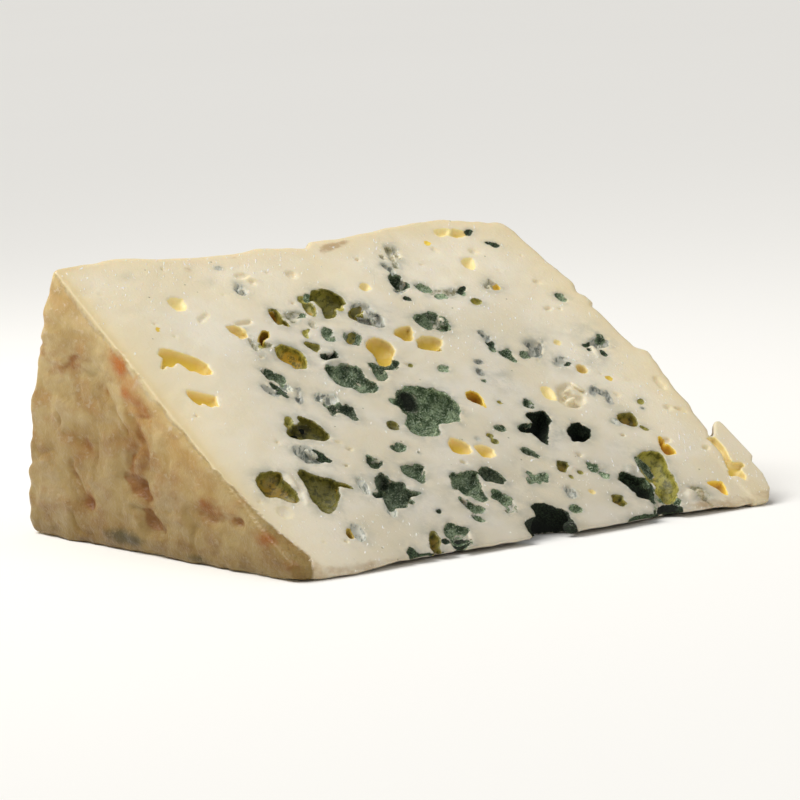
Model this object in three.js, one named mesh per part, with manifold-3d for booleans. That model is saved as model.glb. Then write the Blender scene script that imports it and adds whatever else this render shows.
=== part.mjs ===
// A wedge of blue cheese: one sector of a drum-shaped wheel, lying on one of its two cuts.
//
// Millimetres, +Z up. X runs along the wheel's axis, from one flat rind to the other. The thin
// edge of the wedge, where the wheel's axis was, lies at the front (-Y), and the curved rind
// stands at the back (+Y). The upper cut slopes up from the thin edge and is full of eyes.
//
// Places on the sloping cut are given as (u, v): u from the left flat rind along X, v up the
// slope from the thin edge. Depths are square to the cut. Places on the two flat rinds are (y, z).
import * as THREE from 'three';
import { mergeVertices } from 'three/addons/utils/BufferGeometryUtils.js';
import Module from 'manifold-3d';

const wasm = await Module();
wasm.setup();

// Driving dimensions
const WHEEL_RADIUS = 95.5;
const WHEEL_HEIGHT = 108;
const CUT_ANGLE = THREE.MathUtils.degToRad(32.5);
const THIN_EDGE_Y = -47.5;
const THIN_EDGE_HEIGHT = 1.2; // the worn lower cut leaves the thin edge this far above the base
const THIN_EDGE_WEAR = 8; // length of the worn stretch under it
const RIND_ROUNDING = 2.0; // edges where the curved rind meets the two cuts
const END_ROUNDING = 1.5; // edges round the two flat rinds
const HEEL_SWELL = [4.5, 1.0, 3]; // the curved rind sags out near the base: [z, reach, half width]
const PASTE_RELIEF = 0.35; // waviness of the cut

// Steps along the section and across the wedge
const CUT_STEPS = 24;
const RIND_STEPS = 12;
const BASE_STEPS = 6;
const ROUNDING_STEPS = 3;
const WIDTH_STEPS = 22;
const END_RINGS = 7;

const HEART = [16, 12]; // (y, z) that the rings of the flat rinds close in on

// The wheel's radius swells and dips along X: [u, height, half width]
const RIND_SWELLS = [
  [0, -0.2, 7], [15, 1.3, 8], [42, -0.9, 10], [56, -1.5, 3], [60, 0.5, 3], [88, 2.4, 13], [104, -1.0, 4],
];
// The thin edge is rounded off or broken away below an eye: [u, reach up the cut, half width]
const EDGE_BREAKS = [[0, 2.5, 4], [56, 1.2, 3.2], [83.5, 2.1, 2.2], [88.5, 1.3, 4], [110, 2, 4]];
// Where it has sagged down to the base: [u, share of its height, half width]
const EDGE_SAGS = [[8, 0.9, 11], [100, 0.6, 9]];

// Lobes (+) and hollows (-) of the left flat rind: [y, z, half length y, half length z, height]
const LEFT_LOBES = [
  [36, 8, 9, 7, 0.7], [18, 9, 6, 7, 0.8], [-5, 12, 9, 7, 1.0], [-32, 4, 10, 4, 0.6],
  [12, 27, 7, 5, 0.5], [32, 26, 9, 4, 0.6], [-16, 16, 6, 4, 0.4],
  [25, 7, 3.2, 2.8, -1.8], [25.5, 18, 2.6, 2.0, -1.0], [5, 11.5, 4.5, 2.6, -1.4],
  [8, 18, 3, 4, -0.9], [3, 6, 3, 2, -1.0], [-18, 8.5, 4.5, 2.2, -1.2], [27, 31.5, 6, 1.8, -0.8],
];
// The right flat rind leans out towards the thin edge, with knobs along the slope: [v, reach, half width]
const RIGHT_LEAN = 0.034;
const RIGHT_KNOBS = [[64, 2.0, 34], [72, 0.9, 3], [65, 0.8, 2], [44, 2.4, 6]];
const RIGHT_LOBES = [
  [33, 14, 9, 8, 0.8], [12, 9, 7, 6, 0.7], [16, 32, 8, 5, 0.6],
  [24, 20, 4, 3, -1.1], [2, 16, 4, 4, -0.8], [36, 30, 3, 4, -0.7], [18, 3, 5, 3, -0.6],
];

// Eyes of the paste, the larger ones: [u, v, half length, half width, turn in degrees, depth].
// The turn is that of the long axis from +X towards up the slope.
const EYES = [
  // Bare eyes near the rinds
  [9.7, 65.2, 2.6, 1.9, -25, 2.6], [13.0, 61.6, 3.7, 1.8, -60, 2.8], [9.1, 51.9, 3.2, 1.9, -48, 2.4],
  [27.1, 69.6, 2.2, 1.4, 95, 1.4], [91.8, 92.3, 3.1, 1.3, -6, 1.6], [33.9, 60.6, 3.4, 2.5, -72, 3.8],
  [8.9, 24.8, 4.2, 3.1, -62, 3.2], [52.3, 28.3, 2.4, 1.9, 80, 1.8], [53.9, 59.1, 3.5, 2.8, 80, 2.6],
  [62.1, 62.7, 2.3, 1.8, 30, 2.4], [65.6, 58.7, 2.8, 1.7, 12, 2.4], [64.3, 40.9, 2.6, 1.4, -78, 2.8],
  [84.8, 37.7, 3.6, 1.9, 52, 1.5], [95.4, 18.8, 2.7, 1.1, 76, 2.0], [94.2, 4.4, 2.6, 1.5, 95, 2.0],
  // Mould-lined eyes on the left
  [24.5, 38.7, 3.7, 2.7, -28, 4.4], [17.0, 22.2, 6.0, 2.8, 68, 4.0], [26.6, 55.4, 2.8, 1.3, -52, 1.8],
  [34.2, 44.0, 4.0, 2.5, -62, 1.8], [21.1, 32.0, 3.0, 2.1, -60, 1.3], [31.0, 18.6, 4.3, 4.0, 20, 3.6],
  [31.9, 26.2, 2.9, 1.6, 82, 2.4], [38.6, 22.8, 2.6, 2.2, 90, 1.8], [30.8, 3.4, 3.5, 1.2, 68, 1.8],
  [37.1, 4.4, 3.6, 2.5, 78, 1.6], [17.0, 9.2, 2.1, 1.8, 80, 1.1],
  // Mould-lined eyes in the middle
  [53.5, 40.8, 6.3, 5.7, 40, 6.0], [48.5, 35.6, 3.0, 2.6, 60, 3.6], [41.3, 53.0, 3.7, 2.7, 92, 2.4],
  [43.6, 48.8, 2.4, 1.4, -15, 1.8], [41.9, 59.1, 2.2, 1.3, 0, 3.4], [49.2, 52.3, 2.7, 1.6, 80, 1.8],
  [52.8, 54.2, 2.6, 1.4, -8, 2.6], [49.8, 63.4, 2.4, 1.7, 52, 1.8], [38.4, 72.4, 2.7, 1.8, -80, 2.2],
  [51.6, 75.1, 4.5, 2.9, 66, 4.6], [46.3, 74.2, 3.1, 1.2, 82, 1.4], [57.0, 69.8, 3.7, 2.8, 80, 1.8],
  [53.9, 18.3, 2.9, 1.9, -52, 3.6], [47.4, 16.8, 4.6, 2.4, 82, 2.6], [52.6, 11.4, 3.5, 1.3, -68, 2.0],
  [44.4, 11.4, 2.6, 1.2, -58, 1.4], [57.3, 3.6, 5.4, 4.3, 12, 7.0],
  // Mould-lined eyes on the right
  [70.1, 65.0, 3.2, 2.7, 10, 2.2], [70.3, 79.0, 2.3, 1.5, 95, 2.8], [86.0, 53.6, 3.8, 1.8, 32, 1.5],
  [101.6, 51.8, 3.2, 2.2, 16, 1.8], [73.3, 30.4, 4.7, 2.2, 58, 5.6], [80.0, 27.0, 2.8, 2.4, 64, 4.6],
  [92.9, 28.2, 2.1, 1.8, 0, 2.8], [82.4, 9.6, 4.1, 2.4, 98, 5.0], [89.7, 12.2, 6.4, 2.8, 72, 4.4],
  [84.6, 2.6, 3.4, 2.6, 30, 5.5],
];
const EYE_CENTRE = 0.3; // share of its depth at which an eye is widest, below the cut
const EYE_LUMPS = 0.13; // how far an eye is from a true ellipsoid
const DEEP_EYE = 2.5; // deeper eyes get more facets
const BASE_SKIN = 0.8; // paste left under an eye near the thin edge

// A flake has split away from the right end, low on the cut: its outline in (u, v)
const FLAKE_OUTLINE = [
  [104, -0.4], [107.4, -0.2], [110, 2.8], [111.4, 7], [111.5, 11], [113, 12.4], [113, 23.6],
  [112.2, 24.4], [107.7, 19.8], [104, 17],
];
const FLAKE_ABOVE = 0.3; // it stands this far proud of the cut
const FLAKE_DEPTH = 13;
const FLAKE_LEAN = 0.28; // its lower side leans back under the wedge, mm for each mm of depth
// The crack beside it, from the notch at its tip down the cut: centre line (u, v) and half widths
const CRACK_LINE = [[107.6, 20.6], [107.0, 16.5], [106.4, 13], [105.6, 10], [105.2, 7.6]];
const CRACK_HALF_WIDTHS = [0.9, 0.75, 0.7, 1.0, 0.4];
const CRACK_DEPTH = 6;

const cutAcross = new THREE.Vector3(1, 0, 0);
const cutUp = new THREE.Vector3(0, Math.cos(CUT_ANGLE), Math.sin(CUT_ANGLE));
const cutOut = new THREE.Vector3().crossVectors(cutAcross, cutUp);

/** A seeded stream of numbers from 0 to 1. */
function seededRandom(seed) {
  let state = seed;
  return () => {
    state = (state * 1664525 + 1013904223) % 4294967296;
    return state / 4294967296;
  };
}

/** A smooth bell, 1 at the centre and nearly 0 two half widths away. */
function bell(place, centre, halfWidth) {
  return Math.exp(-(((place - centre) / halfWidth) ** 2));
}

/** The sum of bells [centre, height, half width] at a place. */
function swell(bells, place) {
  return bells.reduce((sum, [centre, height, width]) => sum + height * bell(place, centre, width), 0);
}

/** The point (u, v) of the sloping cut, sunk square to it by depth. */
function cutPoint(u, v, depth = 0) {
  return new THREE.Vector3(u - WHEEL_HEIGHT / 2, THIN_EDGE_Y, THIN_EDGE_HEIGHT)
    .addScaledVector(cutUp, v)
    .addScaledVector(cutOut, -depth);
}

/** Height of the cut's gentle waves at (u, v). */
function pasteRelief(u, v) {
  const waves = Math.sin(u / 9.1 + 0.7) * Math.cos(v / 7.3 + 0.2) + 0.6 * Math.sin(u / 4.3 - v / 5.9);
  return (PASTE_RELIEF * waves) / 1.6;
}

/** A quarter circle of (y, z) points about a centre, from one angle to another, without its last point. */
function roundedCorner(centre, radius, from, to) {
  return Array.from({ length: ROUNDING_STEPS }, (_, k) => {
    const angle = from + ((to - from) * k) / ROUNDING_STEPS;
    return [centre[0] + radius * Math.cos(angle), centre[1] + radius * Math.sin(angle)];
  });
}

/** The (y, z) points of the curved rind at u, from the base's back edge up to the cut. */
function rindAt(u) {
  const radius = WHEEL_RADIUS + swell(RIND_SWELLS, u);
  const topAngle = CUT_ANGLE - RIND_ROUNDING / (radius - RIND_ROUNDING);
  const rindPoint = (reach, angle) => [
    THIN_EDGE_Y + reach * Math.cos(angle),
    THIN_EDGE_HEIGHT + reach * Math.sin(angle),
  ];
  const back = THIN_EDGE_Y + radius - RIND_ROUNDING;
  const points = roundedCorner([back, RIND_ROUNDING], RIND_ROUNDING, -Math.PI / 2, 0);
  const fromAngle = (RIND_ROUNDING - THIN_EDGE_HEIGHT) / radius;
  for (let k = 0; k < RIND_STEPS; k += 1) {
    const angle = fromAngle + ((topAngle - fromAngle) * k) / RIND_STEPS;
    points.push(rindPoint(radius + swell([HEEL_SWELL], radius * Math.sin(angle)), angle));
  }
  const topCentre = rindPoint(radius - RIND_ROUNDING, topAngle);
  points.push(...roundedCorner(topCentre, RIND_ROUNDING, topAngle, CUT_ANGLE + Math.PI / 2));
  return points;
}

/** The (y, z) points of the thin edge at u, from the cut down to the base. */
function thinEdgeAt(u) {
  const wornBack = swell(EDGE_BREAKS, u);
  const height = THIN_EDGE_HEIGHT * Math.max(0.1, 1 - swell(EDGE_SAGS, u));
  const front = THIN_EDGE_Y + wornBack * cutUp.y;
  const top = THIN_EDGE_HEIGHT + wornBack * cutUp.z;
  return [[front + 0.5, top + 0.65], [front, (top + height) / 2 + 0.2], [front + 0.2, height]];
}

/** The closed (y, z) outline of the wedge at u: base, curved rind, cut and thin edge in turn. */
function sectionAt(u) {
  const edge = thinEdgeAt(u);
  const [edgeY, edgeZ] = edge.at(-1);
  const baseFront = edgeY + 0.3 + (THIN_EDGE_WEAR * edgeZ) / THIN_EDGE_HEIGHT;
  const rind = rindAt(u);
  const baseBack = rind[0][0];
  const outline = [];
  for (let k = 0; k < BASE_STEPS; k += 1) {
    outline.push([baseFront + ((baseBack - baseFront) * k) / BASE_STEPS, 0]);
  }
  outline.push(...rind);
  const cutTop = WHEEL_RADIUS + swell(RIND_SWELLS, u) - RIND_ROUNDING;
  const cutFoot = 2.2 + swell(EDGE_BREAKS, u);
  for (let k = 0; k <= CUT_STEPS; k += 1) {
    const v = cutTop + ((cutFoot - cutTop) * k) / CUT_STEPS;
    const point = cutPoint(u, v, -pasteRelief(u, v));
    outline.push([point.y, point.z]);
  }
  outline.push(...edge);
  return outline;
}

/** Sum of the lobes of a flat rind at (y, z). */
function lobeRelief(lobes, y, z) {
  return lobes.reduce(
    (sum, [cy, cz, ry, rz, height]) => sum + height * bell(y, cy, ry) * bell(z, cz, rz),
    0,
  );
}

/** How far along X the right end stands from square at (y, z). */
function rightSkew(y, z) {
  const v = (y - THIN_EDGE_Y) * cutUp.y + (z - THIN_EDGE_HEIGHT) * cutUp.z;
  return RIGHT_LEAN * (WHEEL_RADIUS / 2 - v) + swell(RIGHT_KNOBS, v);
}

/** One ring of a flat rind: the end section drawn in towards the heart, with the rind's relief. */
function endRing(side, share) {
  const u = side < 0 ? 0 : WHEEL_HEIGHT;
  const lobes = side < 0 ? LEFT_LOBES : RIGHT_LOBES;
  return sectionAt(u).map(([y, z]) => {
    const ringY = HEART[0] + (y - HEART[0]) * share;
    const ringZ = HEART[1] + (z - HEART[1]) * share;
    const edgeFade = Math.min(1, (1 - share) * 8);
    const reach = WHEEL_HEIGHT / 2 + edgeFade * lobeRelief(lobes, ringY, ringZ);
    const skew = side < 0 ? 0 : rightSkew(ringY, ringZ);
    return new THREE.Vector3(side * reach + skew, ringY, ringZ);
  });
}

/** The rounded edge of a flat rind and its rings inwards, from the outermost ring. */
function endRings(side) {
  const rings = [];
  const shrink = END_ROUNDING / 32;
  for (let k = 1; k < ROUNDING_STEPS; k += 1) {
    const angle = (k * Math.PI) / (2 * ROUNDING_STEPS);
    const inset = END_ROUNDING * (1 - Math.sin(angle));
    const share = 1 - shrink * (1 - Math.cos(angle));
    rings.push(endRing(side, share).map((point) => point.setX(point.x - side * inset)));
  }
  for (let k = 0; k < END_RINGS; k += 1) {
    rings.push(endRing(side, (1 - shrink) * (1 - k / END_RINGS)));
  }
  return rings;
}

/** Every ring of the wedge's skin in turn, from the left flat rind to the right one. */
function skinRings() {
  const middle = [];
  const first = END_ROUNDING;
  const last = WHEEL_HEIGHT - END_ROUNDING;
  for (let k = 0; k <= WIDTH_STEPS; k += 1) {
    const share = k / WIDTH_STEPS;
    const u = first + (last - first) * share;
    const square = u - WHEEL_HEIGHT / 2;
    const skewed = ([y, z]) => new THREE.Vector3(square + share ** 3 * rightSkew(y, z), y, z);
    middle.push(sectionAt(u).map(skewed));
  }
  return [...endRings(-1).reverse(), ...middle, ...endRings(1)];
}

/** A closed skin through rings of points, shut at both ends by a fan about the last ring's heart. */
function skinThrough(rings) {
  const around = rings[0].length;
  const heart = (ring) => ring.reduce((sum, p) => sum.add(p), new THREE.Vector3()).divideScalar(around);
  const points = [...rings.flat(), heart(rings[0]), heart(rings.at(-1))];
  const index = [];
  for (let r = 0; r + 1 < rings.length; r += 1) {
    for (let k = 0; k < around; k += 1) {
      const a = r * around + k;
      const b = r * around + ((k + 1) % around);
      index.push(a, b, b + around, a, b + around, a + around);
    }
  }
  const firstHeart = rings.length * around;
  const lastRing = (rings.length - 1) * around;
  for (let k = 0; k < around; k += 1) {
    const next = (k + 1) % around;
    index.push(firstHeart, next, k, firstHeart + 1, lastRing + k, lastRing + next);
  }
  const geometry = new THREE.BufferGeometry().setFromPoints(points);
  geometry.setIndex(index);
  return geometry;
}

/** The closed solid of a geometry, with its shared vertices merged. */
function solidOf(geometry) {
  const bare = geometry.clone();
  bare.deleteAttribute('normal');
  bare.deleteAttribute('uv');
  const merged = mergeVertices(bare, 1e-4);
  const vertProperties = new Float32Array(merged.attributes.position.array);
  const triVerts = new Uint32Array(merged.index.array);
  return new wasm.Manifold(new wasm.Mesh({ numProp: 3, vertProperties, triVerts }));
}

/** The geometry of a closed solid. */
function geometryOf(solid) {
  const mesh = solid.getMesh();
  const geometry = new THREE.BufferGeometry();
  geometry.setAttribute('position', new THREE.BufferAttribute(mesh.vertProperties, 3));
  geometry.setIndex(new THREE.BufferAttribute(mesh.triVerts, 1));
  return geometry;
}

/** A lumpy ball of radius 1, its poles up and down: seeded waves push its points in and out. */
function lumpyBall(steps, random) {
  const ball = new THREE.SphereGeometry(1, steps, Math.round(steps * 0.6)).rotateX(Math.PI / 2);
  const phases = [random(), random(), random()].map((value) => value * Math.PI * 2);
  const position = ball.attributes.position;
  const point = new THREE.Vector3();
  for (let k = 0; k < position.count; k += 1) {
    point.fromBufferAttribute(position, k);
    const wave = Math.sin(3.1 * point.x + phases[0]) + Math.sin(3.7 * point.y + phases[1]);
    point.multiplyScalar(1 + (EYE_LUMPS * (wave + Math.sin(4.3 * point.z + phases[2]))) / 3);
    position.setXYZ(k, point.x, point.y, point.z);
  }
  return ball;
}

/** A block over the whole wedge, from a height up. */
function spaceAbove(height) {
  const block = new THREE.BoxGeometry(2 * WHEEL_HEIGHT, 2 * WHEEL_RADIUS, WHEEL_RADIUS);
  return solidOf(block.translate(0, 0, height + WHEEL_RADIUS / 2));
}

/** The solid that carves one eye: a lumpy ellipsoid sunk in the cut, a little wider below its rim. */
function eyeSolid([u, v, halfLength, halfWidth, turn, depth], random) {
  const down = depth * (1 - EYE_CENTRE);
  const rimShare = Math.sqrt(1 - (EYE_CENTRE / (1 - EYE_CENTRE)) ** 2);
  const ball = lumpyBall(depth > DEEP_EYE ? 12 : 9, random);
  const place = new THREE.Matrix4()
    .makeBasis(cutAcross, cutUp, cutOut)
    .setPosition(cutPoint(u, v, depth * EYE_CENTRE));
  ball.scale(halfLength / rimShare, halfWidth / rimShare, down);
  ball.rotateZ(THREE.MathUtils.degToRad(turn));
  return solidOf(ball.applyMatrix4(place)).intersect(spaceAbove(BASE_SKIN));
}

/** An outline in (u, v) carried down from above the cut to a depth, leaning along -X as it goes. */
function cutPrism(outline, above, depth, lean = 0) {
  const shape = new THREE.Shape(outline.map(([u, v]) => new THREE.Vector2(u, v)));
  const prism = new THREE.ExtrudeGeometry(shape, { depth: above + depth, bevelEnabled: false });
  prism.translate(0, 0, -depth).applyMatrix4(new THREE.Matrix4().makeShear(0, 0, 0, 0, lean, 0));
  const place = new THREE.Matrix4().makeBasis(cutAcross, cutUp, cutOut).setPosition(cutPoint(0, 0));
  return prism.applyMatrix4(place);
}

/** The flake at the right end, cut off level with the base. */
function flakeSolid() {
  const flake = cutPrism(FLAKE_OUTLINE, FLAKE_ABOVE, FLAKE_DEPTH, FLAKE_LEAN);
  return solidOf(flake).intersect(spaceAbove(0));
}

/** The crack between the flake and the wedge: a thin blade along its centre line. */
function crackSolid() {
  const left = CRACK_LINE.map(([u, v], k) => [u - CRACK_HALF_WIDTHS[k], v]);
  const right = CRACK_LINE.map(([u, v], k) => [u + CRACK_HALF_WIDTHS[k], v]).reverse();
  return solidOf(cutPrism([...left, ...right].reverse(), 1, CRACK_DEPTH));
}

/** The whole wedge: the skin with its flake, less the eyes and the crack. */
function wedgeGeometry() {
  const random = seededRandom(1847);
  let wedge = solidOf(skinThrough(skinRings())).add(flakeSolid());
  for (const eye of EYES) {
    wedge = wedge.subtract(eyeSolid(eye, random));
  }
  wedge = wedge.subtract(crackSolid());
  const geometry = geometryOf(wedge);
  geometry.computeBoundingBox();
  const centre = geometry.boundingBox.getCenter(new THREE.Vector3());
  return geometry.translate(-centre.x, -centre.y, -geometry.boundingBox.min.z);
}

const paste = new THREE.MeshStandardMaterial({ color: 0xdfd2b4, roughness: 0.5, metalness: 0 });
const wedge = new THREE.Mesh(wedgeGeometry(), paste);
wedge.name = 'cheese_wedge';

const cheese = new THREE.Group();
cheese.add(wedge);

export default cheese;
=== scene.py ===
"""A wedge of blue cheese that lies on its lower cut, on a pale floor in soft studio light.

The scene is in metres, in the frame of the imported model. The wedge itself is worked out in
millimetres on three axes of its own, square to its sloping cut: u runs along the wheel's axis
from the left flat rind, v runs up the slope from the thin edge, and w is the depth under the cut.
"""

import itertools
import logging
import math
from dataclasses import dataclass, field
from enum import Enum
from typing import ClassVar

import bpy
import numpy as np
from mathutils import Matrix, Vector


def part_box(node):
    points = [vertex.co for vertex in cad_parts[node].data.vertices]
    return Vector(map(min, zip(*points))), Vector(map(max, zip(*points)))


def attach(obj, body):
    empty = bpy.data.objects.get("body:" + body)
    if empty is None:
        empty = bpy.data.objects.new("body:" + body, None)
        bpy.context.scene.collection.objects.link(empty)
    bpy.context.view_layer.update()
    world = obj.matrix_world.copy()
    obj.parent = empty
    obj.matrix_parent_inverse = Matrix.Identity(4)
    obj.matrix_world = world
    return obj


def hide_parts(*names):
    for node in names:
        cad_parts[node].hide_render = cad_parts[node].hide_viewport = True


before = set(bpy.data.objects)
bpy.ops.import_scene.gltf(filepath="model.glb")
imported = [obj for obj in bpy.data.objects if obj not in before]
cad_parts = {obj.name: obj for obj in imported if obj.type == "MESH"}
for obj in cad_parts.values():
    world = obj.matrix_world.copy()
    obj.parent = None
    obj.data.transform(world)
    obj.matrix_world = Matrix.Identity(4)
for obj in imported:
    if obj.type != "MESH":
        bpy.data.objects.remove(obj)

log = logging.getLogger("cheese")

CUT_ANGLE = math.radians(32.5)
# Patches of the left rind are placed by (y, z), and this is the thin edge's y, mm
THIN_EDGE_Y = -47.5
THIN_EDGE_HEIGHT = 1.2
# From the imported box's right end to the left rind, and from its front to the thin edge, mm
BOX_TO_LEFT_RIND = 113.084
BOX_TO_THIN_EDGE = 0.4985

Array = np.ndarray
Points = tuple[tuple[float, ...], ...]
Triple = tuple[float, float, float]
Colour = Triple
Socket = bpy.types.NodeSocket


def soft_max(a: Array, b: Array, reach: float) -> Array:
    """The larger of two fields, with the corner between them rounded off.

    Where the two differ by less than the reach, the square of the rest is added: (reach -
    difference) squared over four reaches.

    Args:
        a: First field, mm.
        b: Second field, mm.
        reach: Difference over which the corner is rounded, mm.

    Returns:
        The joined field.
    """
    rest = np.maximum(reach - np.abs(a - b), 0.0)
    return np.maximum(a, b) + rest * rest / (4.0 * reach)


def soft_min(a: Array, b: Array, reach: float) -> Array:
    """The smaller of two fields, with the corner between them filled."""
    return -soft_max(-a, -b, reach)


def ease(value: Array, low: float, high: float) -> Array:
    """A smooth step from 0 at low to 1 at high, flat at both ends."""
    share = np.clip((value - low) / (high - low), 0.0, 1.0)
    return share * share * (3.0 - 2.0 * share)


def bell(place: Array, centre: float, half_width: float) -> Array:
    """A smooth bell, 1 at the centre and nearly 0 two half widths away."""
    return np.exp(-(((place - centre) / half_width) ** 2))


def along(table: Points, place: Array) -> Array:
    """Reads a table of (place, value) pairs at any place, eased between its rows.

    Args:
        table: Rows of place and value, by rising place.
        place: Where to read it.

    Returns:
        The values there.
    """
    places, values = np.array(table, dtype=float).T
    row = np.clip(np.searchsorted(places, place) - 1, 0, len(places) - 2)
    share = ease((place - places[row]) / (places[row + 1] - places[row]), 0.0, 1.0)
    return values[row] + (values[row + 1] - values[row]) * share


def line_distance(a: Array, b: Array, line: Points) -> Array:
    """Distance from points (a, b) to a line of straight stretches, mm.

    Args:
        a: First coordinate of the points.
        b: Second coordinate of the points.
        line: Corners of the line.

    Returns:
        One distance for each point.
    """
    nearest = np.full(np.broadcast(a, b).shape, np.inf)
    for start, end in itertools.pairwise(line):
        run_a, run_b = end[0] - start[0], end[1] - start[1]
        share = ((a - start[0]) * run_a + (b - start[1]) * run_b) / (run_a**2 + run_b**2)
        share = np.clip(share, 0.0, 1.0)
        gap = np.hypot(a - start[0] - share * run_a, b - start[1] - share * run_b)
        nearest = np.minimum(nearest, gap)
    return nearest


def outline_distance(a: Array, b: Array, outline: Points) -> Array:
    """Distance from points (a, b) to a closed outline, less than zero inside it, mm.

    A point is inside where a ray along a crosses the outline an odd number of times.

    Args:
        a: First coordinate of the points.
        b: Second coordinate of the points.
        outline: Corners of the outline.

    Returns:
        One distance for each point.
    """
    closed = outline + outline[:1]
    inside = np.zeros(np.broadcast(a, b).shape, dtype=bool)
    for (a0, b0), (a1, b1) in itertools.pairwise(closed):
        if b0 != b1:
            crossing = a0 + (b - b0) * (a1 - a0) / (b1 - b0)
            inside ^= ((b0 > b) != (b1 > b)) & (a < crossing)
    gap = line_distance(a, b, closed)
    return np.where(inside, -gap, gap)


def turned(a: Array, b: Array, centre: tuple[float, float], degrees: float) -> tuple[Array, Array]:
    """How far points (a, b) are from a centre along a turned line, and across it, mm.

    Args:
        a: First coordinate of the points.
        b: Second coordinate of the points.
        centre: The centre.
        degrees: Turn of the line from the first axis towards the second.

    Returns:
        The reach along the line and the reach across it.
    """
    cosine, sine = math.cos(math.radians(degrees)), math.sin(math.radians(degrees))
    right, up = a - centre[0], b - centre[1]
    return right * cosine + up * sine, up * cosine - right * sine


class LatticeNoise:
    """Smooth seeded noise in space, from -1 to 1.

    Random values sit on a cubic lattice, and a point takes the eased mean of the eight round it.
    """

    SIDE = 64
    SHIFT = 31.7

    def __init__(self, seed: int) -> None:
        """Draws the lattice."""
        rng = np.random.default_rng(seed)
        self.lattice = rng.uniform(-1.0, 1.0, (self.SIDE,) * 3).astype(np.float32)

    def at(self, points: Array, size: float) -> Array:
        """Reads the noise.

        Args:
            points: Places, one row each, mm.
            size: Distance between two lattice values, mm.

        Returns:
            One value for each place.
        """
        scaled = points / size + self.SHIFT
        cell = np.floor(scaled).astype(np.int32)
        part = (scaled - cell).astype(np.float32)
        part = part * part * (3.0 - 2.0 * part)
        total = np.zeros(len(points), dtype=np.float32)
        for corner in itertools.product((0, 1), repeat=3):
            weight = np.prod(np.where(corner, part, 1.0 - part), axis=1)
            i, j, k = ((cell + corner) % self.SIDE).T
            total += weight * self.lattice[i, j, k]
        return total


class Lining(Enum):
    """What an eye is lined with: its mask, reach and raggedness in mm, and how torn it is below."""

    PALE = ("bare", 0.9, 0.12, 1.5)
    SMEAR = ("olive", 0.9, 0.14, 1.0)
    BARE = ("bare", 0.4, 0.07, 3.0)
    AMBER = ("amber", 0.45, 0.09, 2.0)
    OLIVE = ("olive", 0.6, 0.14, 0.8)
    KHAKI = ("olive", 0.6, 0.13, 0.8)
    MOULD = ("mould", 0.8, 0.24, 0.3)
    # Near-black: partly dark mould, partly painted shade in deep eyes and under the thin edge
    DARK = ("dark", 0.7, 0.22, 0.3)
    WET = ("wet", 0.8, 0.16, 0.4)

    @property
    def mask(self) -> str:
        """Name of the surface mask that this lining paints."""
        return self.value[0]

    @property
    def halo(self) -> float:
        """Distance that the lining spreads past the eye's wall, mm."""
        return self.value[1]

    @property
    def ragged(self) -> float:
        """Height of the lumps on the eye's wall, mm."""
        return self.value[2]

    @property
    def torn(self) -> float:
        """How much more ragged the lower rim is."""
        return self.value[3]

    @property
    def mouldy(self) -> bool:
        """Whether it is something that grows or lies on the wall, and not the wall's own skin; DARK is
        partly painted shade.
        """
        return self.mask in ("mould", "wet", "dark", "olive")


# Share of its depth by which an eye's wall bulges under the rim, and share of its half width by
# which it has drawn in at the floor
EYE_BULGE, EYE_DRAW = 0.14, 0.95


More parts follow.
